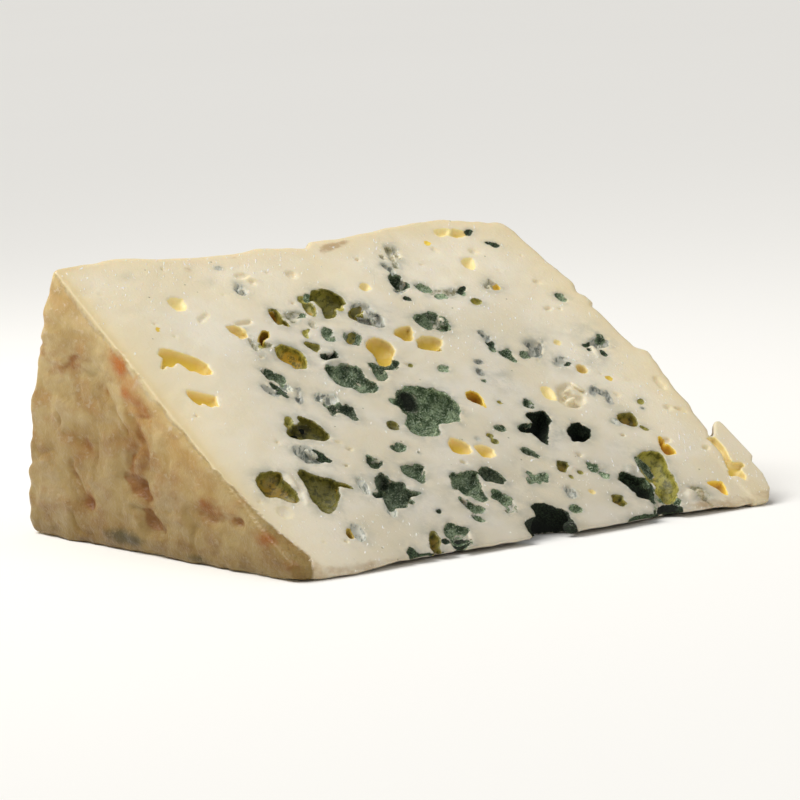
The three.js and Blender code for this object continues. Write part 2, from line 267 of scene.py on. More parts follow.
@dataclass(frozen=True)
class Eye:
    """One eye of the paste, open at the cut and a little wider below its rim.

    Its plan is an ellipse, or an outline where that is given, and its wall follows the depth w:
    it bulges out under the rim, then draws in to the floor with the cube of w over the depth.
    Its tone says how dark (0) or light (1) its lining is, with 0.5 for the lining as it comes.
    For an eye inside another, a low tone is painted shadow under the outer eye's rim.
    """

    u: float
    v: float
    half_length: float
    half_width: float
    turn: float
    depth: float
    lining: Lining
    outline: Points = ()
    tone: float = 0.5

    @property
    def reach(self) -> float:
        """Largest distance from the centre to the rim, mm."""
        if self.outline:
            return max(math.hypot(a - self.u, b - self.v) for a, b in self.outline)
        return max(self.half_length, self.half_width)

    def plan(self, u: Array, v: Array) -> Array:
        """Distance from (u, v) to the rim on the cut, less than zero inside, mm.

        For an ellipse it is k (k - 1) / g, with k the length of the point over the half sizes
        and g its length over their squares.

        Args:
            u: Places along the wheel's axis, mm.
            v: Places up the slope, mm.

        Returns:
            One distance for each place.
        """
        if self.outline:
            return outline_distance(u, v, self.outline)
        along_it, across_it = turned(u, v, (self.u, self.v), self.turn)
        k = np.hypot(along_it / self.half_length, across_it / self.half_width)
        g = np.hypot(along_it / self.half_length**2, across_it / self.half_width**2)
        return k * (k - 1.0) / np.maximum(g, 1e-6)

    def field(self, u: Array, v: Array, w: Array) -> Array:
        """Distance to the eye's wall, less than zero in the hollow, mm.

        Args:
            u: Places along the wheel's axis, mm.
            v: Places up the slope, mm.
            w: Depths under the cut, mm.

        Returns:
            One distance for each place.
        """
        inner = self.half_width * EYE_DRAW
        share = np.clip(w / self.depth, 0.0, None)
        bulge = EYE_BULGE * self.depth * np.clip(4.0 * share * (1.0 - share), 0.0, None)
        return self.plan(u, v) - bulge + inner * share**3

    def ragged_field(self, u: Array, v: Array, w: Array, noise: "LatticeNoise") -> Array:
        """The eye's field with noise of three sizes laid on its wall, mm.

        The noise grows with the depth, and it is stronger on the lower rim, which the knife
        left last and tore, than on the upper one.

        Args:
            u: Places along the wheel's axis, mm.
            v: Places up the slope, mm.
            w: Depths under the cut, mm.
            noise: The noise.

        Returns:
            One distance for each place.
        """
        own = self.field(u, v, w)
        points = np.stack([a.ravel() for a in np.broadcast_arrays(u, v, w)], axis=1)
        lumps = 0.8 * noise.at(points, 3.7) + noise.at(points, 1.7) + 0.6 * noise.at(points, 0.85)
        torn = self.lining.torn * ease((self.v - v) / self.half_width + 0.0 * w, -0.3, 0.9)
        deeper = np.clip(w / 1.5, 0.0, 1.0)
        return own + self.lining.ragged * (1.0 + torn + deeper) * lumps.reshape(own.shape)


def outlined(depth: float, lining: Lining, tone: float, *outline: tuple[float, float]) -> Eye:
    """An eye whose rim is an outline of (u, v) points.

    Its half width is three quarters of that of the square with the same area as its box.

    Args:
        depth: Depth of its floor, mm.
        lining: What it is lined with.
        tone: How dark (0) or light (1) its lining is.
        outline: Corners of its rim.

    Returns:
        The eye, centred on the mean of its corners.
    """
    us, vs = np.array(outline).T
    width = 0.5 * math.sqrt(np.ptp(us) * np.ptp(vs)) * 0.75
    return Eye(us.mean(), vs.mean(), width, width, 0.0, depth, lining, outline, tone)


PALE, SMEAR, BARE, AMBER, OLIVE, KHAKI, MOULD, DARK, WET = Lining

EYES: tuple[Eye, ...] = (
    # Bare eyes towards the left rind
    outlined(2.8, BARE, 0.56, (8.5, 66.9), (9, 67.6), (10.5, 66.9), (12.8, 65.3), (14.5, 63.3),
        (15.2, 61.4), (15.4, 59.6), (14.6, 58.5), (13.2, 58.9), (12.5, 60.6), (11.3, 60.6), (11, 62),
        (10, 63.8), (7.9, 62.5), (8, 63.8), (6, 62.2), (7.6, 64.4), (8.1, 65.2), (7.6, 66.1)),
    outlined(2.2, BARE, 0.58, (6.8, 53.3), (7.2, 54.8), (8.4, 54), (10.1, 53), (11.7, 51.9), (10.3, 48.8),
        (9.9, 49.2), (9.1, 49), (8.7, 50.2), (8.4, 51.3), (7.5, 50.2), (7.1, 50.2), (6.9, 51.6)),
    outlined(1.5, BARE, 0.52, (25.7, 70.4), (25.8, 71.4), (27.2, 71.4), (28, 70.4), (28.6, 69.4),
        (28, 67.8), (27.3, 67.4), (26.4, 67.5), (26, 69)),
    Eye(29.6, 72.0, 1.9, 0.5, 5, 0.4, PALE),
    outlined(2.8, AMBER, 0.25, (29.4, 65.6), (30, 66.4), (30.7, 67.2), (31.8, 68.1), (32.3, 68.7),
        (33, 68.2), (32.6, 67.5), (31.9, 66.6), (30.9, 66.1), (30.1, 65.3)),
    outlined(1.4, OLIVE, 0.6, (28.7, 63.6), (29.7, 65.2), (30.4, 65.2), (30.2, 64.4)),
    outlined(0.9, BARE, 0.6, (18.1, 80.2), (18.2, 81.4), (19.8, 82.2), (21.2, 81.6), (20.9, 79.6),
        (20.2, 78.5), (18.6, 78.5)),
    Eye(38.0, 86.3, 1.6, 1.2, 0, 0.5, PALE), Eye(38.9, 83.9, 1.3, 0.8, 80, 0.4, PALE),
    Eye(48.6, 85.0, 1.0, 1.2, 0, 0.6, PALE), Eye(22.4, 75.0, 2.2, 0.9, 35, 0.4, PALE),
    Eye(17.4, 9.2, 2.4, 1.0, 75, 0.9, WET), Eye(15.7, 9.1, 1.4, 0.5, 75, 1.8, AMBER, (), 0.16),
    Eye(6.8, 17.8, 2.0, 1.7, 60, 0.6, PALE), Eye(11.2, 73.4, 0.5, 0.2, 60, 0.4, AMBER),
    # Bare eyes in the middle and on the right
    outlined(2.0, BARE, 0.52, (50.4, 26.9), (50.8, 29.3), (52.2, 30.6), (53.7, 29.5), (54.4, 27.9),
        (54, 26.4), (52.7, 26), (51.1, 26.2)),
    outlined(1.7, BARE, 0.55, (55.6, 27.2), (56.6, 27.6), (57.9, 27), (58.5, 25.8), (57.9, 24.5),
        (57, 23.9), (55.7, 24.4), (55.4, 25.6)),
    outlined(3.0, BARE, 0.46, (51.1, 59.7), (51.9, 61.3), (53.2, 62.2), (54.5, 62.6), (55.8, 61.8),
        (56.6, 60.2), (56.4, 58.4), (55.1, 56.8), (54, 55.6), (52.8, 55.5), (52.2, 56.3), (51.5, 58.1)),
    outlined(2.4, BARE, 0.42, (59.8, 62.9), (60.8, 64.1), (62.4, 64.6), (64.2, 64.8), (63.8, 63.1),
        (62.7, 61.5), (61.9, 60.6), (60.6, 61), (60.3, 62.3)),
    outlined(2.0, BARE, 0.46, (62.8, 58.8), (63.6, 60.4), (65.2, 61.2), (67.2, 60.6), (68.2, 59.3),
        (67.6, 58.2), (66.2, 57.2), (64.6, 57.9)),
    Eye(64.4, 57.5, 2.1, 0.6, -24, 3.6, AMBER, (), 0.12),
    outlined(2.8, AMBER, 0.5, (62.8, 41.5), (63.5, 42.6), (64.7, 42.8), (65.6, 41.8), (65.6, 40.2),
        (65.1, 38.6), (64.7, 37.6), (64.1, 38.9), (63.2, 39.7), (62.7, 40.5)),
    Eye(62.0, 78.2, 1.1, 0.8, 50, 0.8, BARE, (), 0.56),
    outlined(0.9, BARE, 0.6, (88.2, 81.5), (88.6, 82.7), (90, 83.4), (91.1, 83.2), (90.9, 82.1),
        (90, 80.9), (89.2, 79.9), (88.5, 80.3)),
    Eye(93.0, 85.2, 1.1, 1.2, 0, 0.4, PALE),
    outlined(0.9, BARE, 0.6, (88.5, 92.7), (89, 93.7), (91, 93.8), (92.2, 93.4), (91.3, 91.8),
        (90.2, 91.7), (89.3, 91.3), (88.8, 91.6)),
    outlined(1.3, BARE, 0.56, (91.4, 91.4), (92.6, 92.6), (93.4, 93.4), (94.4, 92.6), (95.6, 91.7),
        (94.8, 91.2), (93.8, 90.9), (92.6, 90.9)),
    Eye(84.6, 89.9, 0.4, 0.5, 0, 0.5, AMBER, (), 0.7), Eye(84.8, 87.6, 0.7, 0.9, 0, 0.4, PALE),
    outlined(1.7, BARE, 0.44, (91.9, 44.3), (92.6, 45.8), (93.4, 46.4), (94, 45.8), (93.9, 44.7),
        (93.2, 44), (92.4, 43.9)),
    Eye(93.2, 54.0, 0.5, 0.5, 0, 0.5, BARE), Eye(97.2, 41.3, 0.5, 0.6, 0, 0.6, AMBER),
    outlined(0.9, BARE, 0.58, (79.8, 38.4), (80.2, 40.4), (80.9, 41.5), (81.9, 41.2), (82.2, 39.6),
        (81.8, 38.1), (81.2, 37.3), (80.3, 37.6)),
    outlined(1.3, PALE, 0.42, (82.3, 37), (83, 38.8), (84.2, 40.5), (86.9, 41.3), (86.4, 40.2),
        (85.7, 38.6), (86, 37.6), (87.4, 37), (86.8, 35), (84.8, 34.1), (82.7, 34.5)),
    Eye(88.0, 39.6, 1.9, 0.7, 110, 0.5, PALE), Eye(95.7, 36.0, 0.8, 0.9, 0, 0.4, PALE),
    Eye(107.4, 37.6, 2.4, 0.9, 85, 0.5, PALE), Eye(104.0, 30.0, 0.9, 0.9, 0, 0.4, PALE),
    Eye(106.3, 28.6, 1.4, 0.6, -50, 0.4, PALE), Eye(101.2, 73.3, 0.8, 0.7, 0, 0.4, PALE),
    Eye(104.0, 16.8, 0.8, 0.7, 0, 0.4, PALE), Eye(97.8, 64.3, 0.9, 0.4, 20, 0.4, PALE),
    outlined(2.3, AMBER, 0.6, (94.1, 16.6), (94.3, 18.3), (95, 20.3), (96, 21.9), (96.5, 21.4), (95.8, 20),
        (96.3, 18.8), (96.4, 17.6), (95.9, 16.6), (95, 16.6)),
    Eye(96.9, 20.7, 0.8, 0.7, 40, 0.5, PALE), Eye(71.3, 9.8, 0.5, 0.5, 0, 0.5, BARE),
    outlined(1.9, AMBER, 0.66, (97.6, 7), (98.6, 7.2), (100.6, 6.9), (100.4, 5.3), (99.4, 3.3),
        (98.9, 4.4), (98.4, 5.6)),
    outlined(1.0, SMEAR, 0.6, (92.7, 5.6), (93, 7), (94.4, 7), (95.4, 5.5), (95.6, 4), (94.8, 2.2),
        (94.1, 0.9), (93.5, 2.2), (92.6, 3.8)),
    # The valley between the wedge and its flake
    outlined(1.9, BARE, 0.52, (106.4, 19.4), (107.9, 19.4), (107.8, 16.3), (107.2, 14), (106.5, 11.4),
        (108.6, 10.9), (108.5, 10), (107, 9.5), (106.6, 7.2), (105.9, 6.2), (105.6, 7.4), (104.9, 7.8),
        (104, 8.3), (104.7, 9.8), (105.3, 12), (106.1, 13.9), (106.4, 16.8)),
    # Eyes lined with olive
    outlined(3.4, OLIVE, 0.8, (31.3, 62.2), (32, 63.3), (33.8, 64), (35.2, 63), (36.2, 61.3), (36.3, 59.5),
        (36, 58), (34.9, 57.2), (33, 57.2), (32.7, 58.2), (31.7, 59.2), (31.2, 60.6)),
    Eye(30.7, 64.2, 0.9, 0.7, 30, 0.7, SMEAR), Eye(27.9, 65.0, 2.0, 0.22, 85, 0.4, SMEAR),
    outlined(4.2, KHAKI, 0.3, (20.8, 39.6), (22.5, 40.5), (24.7, 41.2), (24.8, 42.3), (25.3, 42.9),
        (26.3, 41.8), (27.3, 40.2), (27.7, 38.6), (27.6, 36.9), (26.9, 36), (26.2, 35.6), (25.2, 36),
        (24, 36.6), (23, 37.4), (21.9, 37.6), (20.9, 37.8)),
    Eye(22.7, 38.7, 2.6, 1.5, 10, 4.2, KHAKI, (), -0.1), Eye(23.0, 38.8, 0.8, 0.7, 60, 5.8, DARK, (), 0.3),
    Eye(22.2, 41.8, 1.5, 0.45, 70, 1.4, OLIVE, (), 0.6),
    outlined(3.2, OLIVE, 0.3, (5.9, 26.1), (7.1, 27.9), (8.5, 28.9), (10.4, 28.9), (11.9, 28.2),
        (11.2, 26.6), (11.6, 25.1), (11.7, 22.9), (11.3, 20.8), (10.4, 20.3), (9.3, 21.1), (7.7, 22.7),
        (5.9, 23.1), (5.8, 24.3)),
    outlined(4.0, KHAKI, 0.22, (15.9, 27.7), (16.7, 28.1), (17.7, 26.6), (19.1, 25.1), (20.9, 24.4),
        (21.2, 22.9), (20.4, 21.6), (19.8, 20.1), (18, 18.2), (16.4, 16.4), (15.1, 15.8), (14.2, 16.6),
        (14.6, 18.2), (14.1, 19.4), (14.8, 21.4), (15.5, 24)),
    Eye(22.4, 22.0, 1.6, 0.4, -46, 2.0, OLIVE, (), 0.4), Eye(30.8, 3.2, 3.4, 0.8, 64, 1.8, OLIVE, (), 0.2),
    outlined(4.6, KHAKI, 0.38, (50.3, 78.5), (51.5, 79.3), (52.3, 79.4), (53.5, 78.6), (54.4, 77.4),
        (54.9, 75.6), (54.5, 74.4), (53.7, 73.8), (52.6, 74), (51.9, 73), (51, 71.6), (50, 70.8),
        (48.2, 70.5), (48.8, 72), (49, 73.8), (49.3, 75.4), (49, 76.3), (49.3, 77.3)),
    Eye(50.4, 75.8, 3.4, 1.6, 75, 4.4, KHAKI, (), 0.6), Eye(52.6, 72.9, 1.2, 0.7, 60, 1.5, OLIVE, (), 0.85),
    outlined(2.3, OLIVE, 0.5, (37.2, 74.9), (38.1, 74.9), (38.6, 74.4), (38.4, 72.8), (38, 71.2),
        (38.6, 70.2), (38.5, 69.2), (38, 69.4), (37.6, 70.2), (36.6, 70.2), (36.5, 71.2), (36.8, 73)),
    Eye(37.4, 73.6, 0.9, 0.5, 70, 2.8, AMBER, (), 0.35), Eye(41.2, 72.4, 2.2, 0.9, 10, 0.7, SMEAR),
    Eye(40.7, 70.6, 1.2, 0.4, 20, 0.5, SMEAR), Eye(43.4, 71.9, 0.8, 0.5, 0, 0.5, MOULD, (), 0.8),
    Eye(40.5, 66.1, 0.9, 0.28, 75, 0.6, OLIVE, (), 0.7),
    Eye(41.4, 67.2, 0.8, 0.25, 25, 0.6, OLIVE, (), 0.7), Eye(44.0, 69.0, 1.1, 0.6, 80, 0.5, SMEAR),
    Eye(42.7, 36.8, 1.1, 0.8, 60, 1.4, OLIVE, (), 0.24),
    outlined(1.9, MOULD, 0.25, (65.2, 24.5), (65.7, 24.8), (67.3, 22.4), (66.8, 22), (65.3, 23.2)),
    outlined(1.9, OLIVE, 0.2, (68.9, 17.2), (69.5, 18.5), (70.3, 19.8), (71.6, 19), (71.4, 18.2),
        (70.3, 17.4), (69.5, 16.5)),
    outlined(2.0, OLIVE, 0.33, (74.2, 6.3), (74.9, 7.8), (76, 7.9), (76.9, 7.4), (76.3, 6.4), (76.1, 5.5),
        (75.3, 5), (74.8, 5.2)),
    outlined(2.6, OLIVE, 0.3, (92.6, 29.3), (91.6, 29.9), (93.3, 30.1), (94.9, 30), (94.8, 28.3),
        (94.2, 27), (93.5, 26.2), (92.2, 26.6), (91.9, 27)),
    Eye(91.9, 28.3, 1.25, 1.1, 0, 3.2, AMBER, (), 0.5), Eye(94.7, 25.2, 0.8, 0.3, -60, 0.6, OLIVE, (), 0.5),
    Eye(90.0, 28.0, 1.0, 0.9, 60, 0.6, WET, (), 0.5),
    outlined(3.4, KHAKI, 0.72, (86.7, 15.5), (87.2, 16.9), (88.3, 17.7), (89.8, 18.2), (91.6, 18.2),
        (92.6, 17.6), (92.7, 16.6), (92.3, 14.6), (91.6, 12.6), (91, 10.3), (90.3, 8.2), (89.4, 6.4),
        (87.6, 4.6), (86.6, 5.8), (85.9, 7.6), (85.8, 9), (86.3, 10.5), (86.3, 12.3), (86.5, 14)),
    Eye(86.9, 13.4, 3.6, 0.9, 80, 3.6, MOULD, (), 0.2), Eye(88.4, 7.6, 2.4, 0.9, 62, 3.8, KHAKI, (), 0.36),
    Eye(73.7, 87.4, 2.5, 0.7, 72, 1.0, SMEAR), Eye(75.2, 87.4, 1.9, 0.5, 80, 0.6, SMEAR),
    Eye(71.4, 86.6, 0.9, 0.5, 70, 0.6, SMEAR), Eye(72.9, 83.8, 1.3, 0.5, 65, 0.5, SMEAR),
    outlined(1.0, SMEAR, 0.5, (87.9, 73), (88.6, 74.2), (89.8, 74.6), (90.5, 75.6), (91, 74.6),
        (91.2, 73.2), (91, 72.4), (89.6, 72), (88.6, 72.3)),
    Eye(90.6, 73.1, 0.6, 0.9, 0, 1.4, AMBER, (), 0.4), Eye(83.3, 69.3, 0.9, 0.8, 0, 0.8, OLIVE, (), 0.7),
    Eye(76.8, 74.1, 1.6, 0.5, 0, 0.5, SMEAR), Eye(79.9, 73.2, 1.6, 0.8, 0, 0.6, SMEAR),
    Eye(60.6, 28.0, 0.5, 0.4, 0, 0.8, OLIVE), Eye(99.5, 33.1, 0.7, 0.25, 45, 0.5, OLIVE),
    # Eyes lined with grey-green mould, from left to right
    outlined(1.9, MOULD, 0.32, (25.3, 56), (25.3, 57.6), (26.2, 57.8), (27.2, 56.6), (27.6, 55.6),
        (27.1, 54.6), (26.4, 55), (25.5, 54.8)),
    outlined(1.6, MOULD, 0.3, (27.3, 55.6), (28.6, 55.4), (28.6, 54.6), (27.9, 53.5), (27, 53), (26.6, 54),
        (27.1, 54.8)),
    outlined(1.9, MOULD, 0.14, (32.6, 46.2), (32.9, 45), (33.6, 44.4), (34.5, 44.9), (35.2, 45),
        (35.6, 43.9), (36.6, 44.2), (37, 43.2), (36.7, 42.2), (36.3, 40.2), (35.8, 40.2), (35.2, 41.4),
        (35, 42.6), (34.2, 43.2), (33.5, 43.1), (32.7, 42), (32.3, 42.2), (32.8, 43.6), (32.4, 45.2)),
    outlined(3.4, MOULD, 0.2, (29.2, 21.6), (29.6, 22.8), (31, 23.6), (31.7, 24), (32.3, 22.9),
        (32.2, 21.4), (33, 20.3), (34.2, 20.4), (34.1, 19), (34.6, 17.9), (36, 16.9), (34.8, 16.5),
        (33.6, 16.4), (33.5, 15), (33, 14.2), (32.4, 15), (30.6, 14.3), (28.5, 14.7), (28.1, 15.8),
        (28.3, 17.4), (26.7, 17.7), (26.6, 18.5), (27.2, 19.1), (28.3, 18.9), (29.3, 20.1)),
    # Dark patch in the star-shaped eye: painted shadow under its rim
    Eye(30.1, 20.7, 2.3, 0.9, 50, 4.0, MOULD, (), 0.0),
    outlined(2.2, MOULD, 0.42, (30.6, 25.6), (31, 27.4), (31.9, 29), (32.5, 28.1), (33.7, 27), (33.2, 26),
        (32, 25.3)),
    outlined(2.0, MOULD, 0.45, (36.6, 23.5), (37.4, 24.9), (39.7, 25.2), (40.7, 24.8), (40.9, 23.9),
        (40.2, 22.4), (39.4, 21.4), (38.3, 19.8), (37.7, 21.1), (36.8, 22.2)),
    outlined(1.9, MOULD, 0.45, (36.9, 7.7), (37.9, 6.6), (39.5, 6.1), (39.5, 5.1), (39, 3.7), (38.5, 2.7),
        (37.9, 1.6), (36.6, 1.4), (34.8, 1.2), (34.1, 1.6), (34.5, 2.9), (34.7, 4.8), (35.3, 6.1),
        (36.2, 6.9)),
    Eye(36.2, 2.2, 1.6, 0.6, 0, 2.2, DARK, (), 0.9), Eye(40.0, 30.4, 1.2, 0.8, 20, 1.0, MOULD),
    outlined(2.8, MOULD, 0.42, (45.2, 20.3), (46, 20.9), (46.8, 20.2), (48, 20.4), (49.6, 20.3),
        (51, 20.2), (50.6, 19.2), (50, 18), (49.9, 16.8), (49, 15.6), (48.8, 14), (48.3, 12.6),
        (47.2, 12.3), (46.1, 12.7), (45.8, 13.8), (44.8, 14), (44.7, 16.3), (43.5, 16.5), (44.4, 17.9),
        (44.9, 18.4)),
    outlined(2.2, MOULD, 0.5, (50.1, 12.9), (50.8, 14), (51.6, 14.7), (52.4, 14.3), (53.2, 12.9),
        (53.6, 11.4), (53.6, 10.3), (53.1, 9), (52.2, 7.9), (51, 8.1), (50.7, 8.7), (51.4, 9.5),
        (51.2, 10.8), (50.8, 11.9)),
    outlined(1.7, MOULD, 0.5, (42.6, 12.9), (43.2, 14), (44, 13.2), (44.1, 12.2), (44.7, 11.4),
        (45.8, 10.8), (46.1, 10.1), (45.3, 9.4), (44.3, 9.5), (43.6, 9.7), (43.1, 11.1)),
    outlined(1.0, MOULD, 0.6, (43.1, 9.3), (42.8, 8.2), (43.5, 7.2), (44.3, 6.9), (44.1, 7.6), (43.6, 8.3)),
    outlined(5.6, MOULD, 0.72, (48.6, 41.8), (48.7, 43.6), (49.5, 45.2), (50.6, 46.4), (52.2, 46.9),
        (54, 46.5), (55.8, 45.6), (57.2, 45.2), (58.5, 43.6), (59.3, 41.8), (59.3, 39.9), (58.5, 37.8),
        (57.4, 36.5), (56.6, 34.9), (55.6, 35.2), (52.4, 35.1), (51.4, 34.7), (50.8, 33.4), (49.8, 32.4),
        (48.2, 32.6), (46.4, 33.1), (45.7, 34.2), (45.8, 36.5), (46.6, 37.8), (48.2, 39.7)),
    # Dark patch under the big eye's upper left rim: painted shadow
    Eye(49.6, 42.6, 3.6, 1.9, 68, 6.4, MOULD, (), -0.2),
    outlined(2.4, MOULD, 0.48, (38.9, 55), (39.5, 56.2), (41, 55.4), (42.9, 56), (43.8, 55.6),
        (43.9, 54.4), (45.1, 53.4), (45.3, 51.8), (44.6, 50.4), (45.9, 49.2), (45.5, 47.9), (44.3, 47.4),
        (42.9, 47.7), (41.8, 47.2), (41.4, 48.6), (41.1, 49.8), (39.8, 50.1), (38.9, 51.5), (38.7, 53.4)),
    Eye(42.3, 54.6, 1.1, 0.7, 20, 2.9, MOULD, (), 0.12),
    Eye(44.7, 52.0, 2.2, 0.45, 88, 1.6, MOULD, (), 0.2),
    outlined(1.9, MOULD, 0.46, (47.7, 52.8), (48.7, 54.9), (49.8, 54.7), (50.2, 53.6), (50.3, 51.8),
        (49.8, 50.2), (48.7, 49.7), (47.7, 50.2), (47.6, 51.5)),
    outlined(2.6, MOULD, 0.34, (51.4, 57.6), (52.4, 57.1), (52.2, 55.5), (52.9, 55.2), (54.5, 54.9),
        (54.9, 54.2), (54, 53.1), (52.7, 52.6), (51.4, 53.1), (50.3, 53.1), (50.8, 54.7), (51.2, 56.3)),
    outlined(1.9, MOULD, 0.46, (47.8, 61.8), (48.3, 63.6), (49.3, 65.2), (50.8, 64.9), (51.5, 63.6),
        (50.8, 62.1), (49.8, 61.4)),
    Eye(50.3, 64.1, 0.8, 0.6, 40, 2.0, OLIVE, (), 0.3),
    outlined(1.4, MOULD, 0.55, (44.1, 65.2), (45, 66.6), (45.9, 67.3), (46.5, 66.6), (46.6, 65.6),
        (46.1, 64.6), (45.3, 63.3), (44.2, 63.6)),
    Eye(46.2, 73.9, 2.3, 0.8, 80, 1.4, OLIVE, (), 0.6), Eye(46.3, 77.0, 0.9, 0.5, 60, 0.9, OLIVE, (), 0.7),
    Eye(47.9, 77.3, 0.8, 0.5, 40, 0.8, MOULD, (), 0.7), Eye(64.1, 31.5, 0.9, 0.8, 20, 1.2, MOULD),
    outlined(1.3, MOULD, 0.5, (60.6, 15.3), (61.1, 16.4), (61.9, 18.2), (62.2, 16.9), (63.2, 16.6),
        (65.2, 16.8), (64.4, 15.6), (64, 14.7), (62.4, 14.8), (62, 15.6)),
    Eye(66.8, 10.8, 1.6, 0.9, 75, 0.9, WET), Eye(64.7, 5.9, 1.1, 0.9, 0, 1.0, MOULD, (), 0.6),
    outlined(0.9, MOULD, 0.75, (75.4, 16.6), (76, 18), (76.6, 17), (77.8, 17), (78.4, 15.8), (78.2, 14.8),
        (77.4, 13), (76.8, 13.2), (76.6, 14.8), (75.6, 15.6)),
    outlined(3.0, MOULD, 0.26, (69.3, 80.3), (70.3, 81), (71.3, 80.2), (71.6, 79), (71.9, 77.9),
        (71.4, 76.8), (70.6, 76.9), (70.2, 77.5), (68.9, 77.5), (68.8, 78.9)),
    Eye(70.5, 83.0, 1.9, 0.6, 100, 0.9, WET), Eye(69.4, 76.3, 1.4, 0.6, 20, 0.8, WET),
    outlined(2.3, MOULD, 0.42, (67, 65.5), (67.3, 66.7), (68.2, 67.5), (68.9, 67.2), (69.8, 67.5),
        (71.2, 68), (72.5, 67.6), (73, 66.5), (73, 65), (72.5, 63.5), (72, 62.2), (71.4, 61.8),
        (70.3, 62.4), (70, 63.3), (69, 63.9), (68, 63.5), (67.2, 64.3)),
    Eye(70.4, 66.3, 1.0, 0.9, 0, 2.6, MOULD, (), 0.15), Eye(74.5, 76.2, 1.5, 0.7, -55, 0.9, MOULD, (), 0.5),
    Eye(76.9, 72.7, 0.9, 0.7, 0, 0.8, MOULD, (), 0.7), Eye(82.8, 73.8, 1.0, 0.5, 25, 0.9, DARK, (), 1.0),
    Eye(81.7, 72.4, 0.7, 0.4, 60, 0.6, MOULD, (), 0.7),
    outlined(1.3, MOULD, 0.5, (78.3, 53.1), (79.2, 53.5), (80.3, 53.4), (81, 54), (80.4, 52.4),
        (79.9, 50.3), (79.3, 51.2)),
    Eye(63.3, 50.5, 1.1, 1.0, 0, 0.7, MOULD, (), 0.7), Eye(69.0, 73.2, 0.6, 0.5, 0, 0.9, DARK, (), 1.0),
    Eye(47.3, 43.3, 0.9, 0.8, 0, 0.8, MOULD, (), 0.7),
    outlined(1.7, MOULD, 0.4, (73.6, 36.8), (74.2, 37.8), (75, 38.8), (75.5, 38), (75.4, 36.8),
        (74.9, 35.9), (74.2, 36.2)),
    outlined(1.6, OLIVE, 0.4, (39, 63.4), (39.5, 64), (40.3, 63.1), (41.4, 62.6), (40.8, 61.5),
        (39.8, 60.5), (39.4, 61.5)),
    outlined(0.9, MOULD, 0.6, (102.2, 66.6), (102.4, 68.2), (103.2, 68.6), (103.8, 67.8), (103.7, 66.6),
        (103, 65.9)),
    # Deep eyes, dark inside: their near-black lining is partly dark mould and partly painted shade
    # The hole through the thin edge: its near-black lining is painted shadow under the edge, with dark
    # mould
    outlined(7.0, DARK, 0.2, (51.5, 0), (52.2, 4.3), (53.5, 4.8), (56.1, 5.6), (56.5, 8.2), (57.7, 8.9),
        (59.3, 8.6), (60.8, 7.2), (62.4, 5.7), (61.6, 3), (61, 0), (60.5, -4), (51.5, -4)),
    outlined(3.0, MOULD, 0.06, (39.7, 58.9), (40.3, 59.8), (41.9, 60.1), (43.7, 60.3), (43.7, 58.9),
        (42.7, 58.2), (41.4, 58), (40.3, 58.1)),
    outlined(3.0, MOULD, 0.16, (51.9, 19.8), (52.6, 20.5), (53.5, 21.2), (54.5, 20.6), (55.3, 19.3),
        (55.6, 17.7), (55.4, 16.1), (54.7, 15.6), (53.6, 16.6), (52.8, 17.3), (51.7, 17.7)),
    outlined(5.4, DARK, 0.4, (68.7, 30.1), (69.3, 31.1), (70.8, 31.5), (72.2, 31.4), (72.4, 32.4),
        (72.2, 33.5), (73.2, 34.4), (76.3, 34.2), (76, 31.5), (74.5, 29.8), (73.5, 28.7), (72.2, 26.6),
        (71.2, 24.9), (70.8, 27.2), (70.3, 29)),
    Eye(70.2, 30.6, 1.4, 0.7, 10, 1.8, MOULD, (), 0.4),
    outlined(4.6, DARK, 0.4, (77.4, 25.2), (77.6, 26.5), (78, 27.5), (79, 28.5), (80, 29.2), (81.3, 29.1),
        (82, 27.6), (82.3, 26.9), (81.4, 25.4), (80.5, 24.4), (79, 24.1), (78.3, 24.9)),
    outlined(4.6, DARK, 0.8, (79.8, 12.2), (80.6, 13.3), (81.8, 13.8), (82.7, 12.8), (83.6, 11.9),
        (85, 11), (85.2, 10), (85.4, 8.8), (84.3, 7), (83.5, 5.6), (82.6, 5.3), (81.6, 5.9), (80.3, 6.6),
        (80.2, 8.2), (80.3, 10), (80, 11.4)),
    outlined(3.0, MOULD, 0.6, (85.6, 8.6), (84.4, 6.8), (83.6, 5.4), (82.2, 4.8), (81.8, 2.4), (84, 1),
        (86.6, 1), (88, 3.4), (87.4, 5.2), (86.4, 7)),
    # Eyes at the thin edge (v near 0) are lined near-black: painted shadow of the edge's underside
    Eye(84.0, 1.2, 3.0, 1.4, 5, 5.5, DARK, (), 0.4), Eye(36.8, 11.3, 0.5, 0.3, 30, 0.9, DARK),
    Eye(33.3, 3.2, 0.5, 0.3, 30, 0.8, DARK),
    outlined(1.2, DARK, 1.0, (23.5, -1), (24.2, 2), (25.3, 3.2), (25.6, 1), (31, 0.6), (31, -1)),
    Eye(77.4, 0.2, 3.2, 0.9, 4, 1.4, DARK, (), 1.0), Eye(99.3, 86.5, 0.55, 0.5, 0, 0.5, DARK, (), 1.0),
    Eye(98.2, 87.4, 0.3, 0.25, 0, 0.4, DARK, (), 1.0), Eye(96.2, 91.8, 0.65, 0.28, 30, 0.6, DARK, (), 0.8),
    # Wet grey eyes, smeared shut by the knife
    Eye(23.6, 51.5, 1.6, 0.55, -65, 0.9, WET, (), 0.35),
    Eye(25.6, 51.4, 1.9, 0.32, -75, 1.0, DARK, (), 1.0), Eye(28.7, 49.1, 1.7, 0.35, 62, 0.9, WET, (), 0.2),
    Eye(26.9, 51.2, 1.8, 1.0, 60, 0.6, WET, (), 0.85),
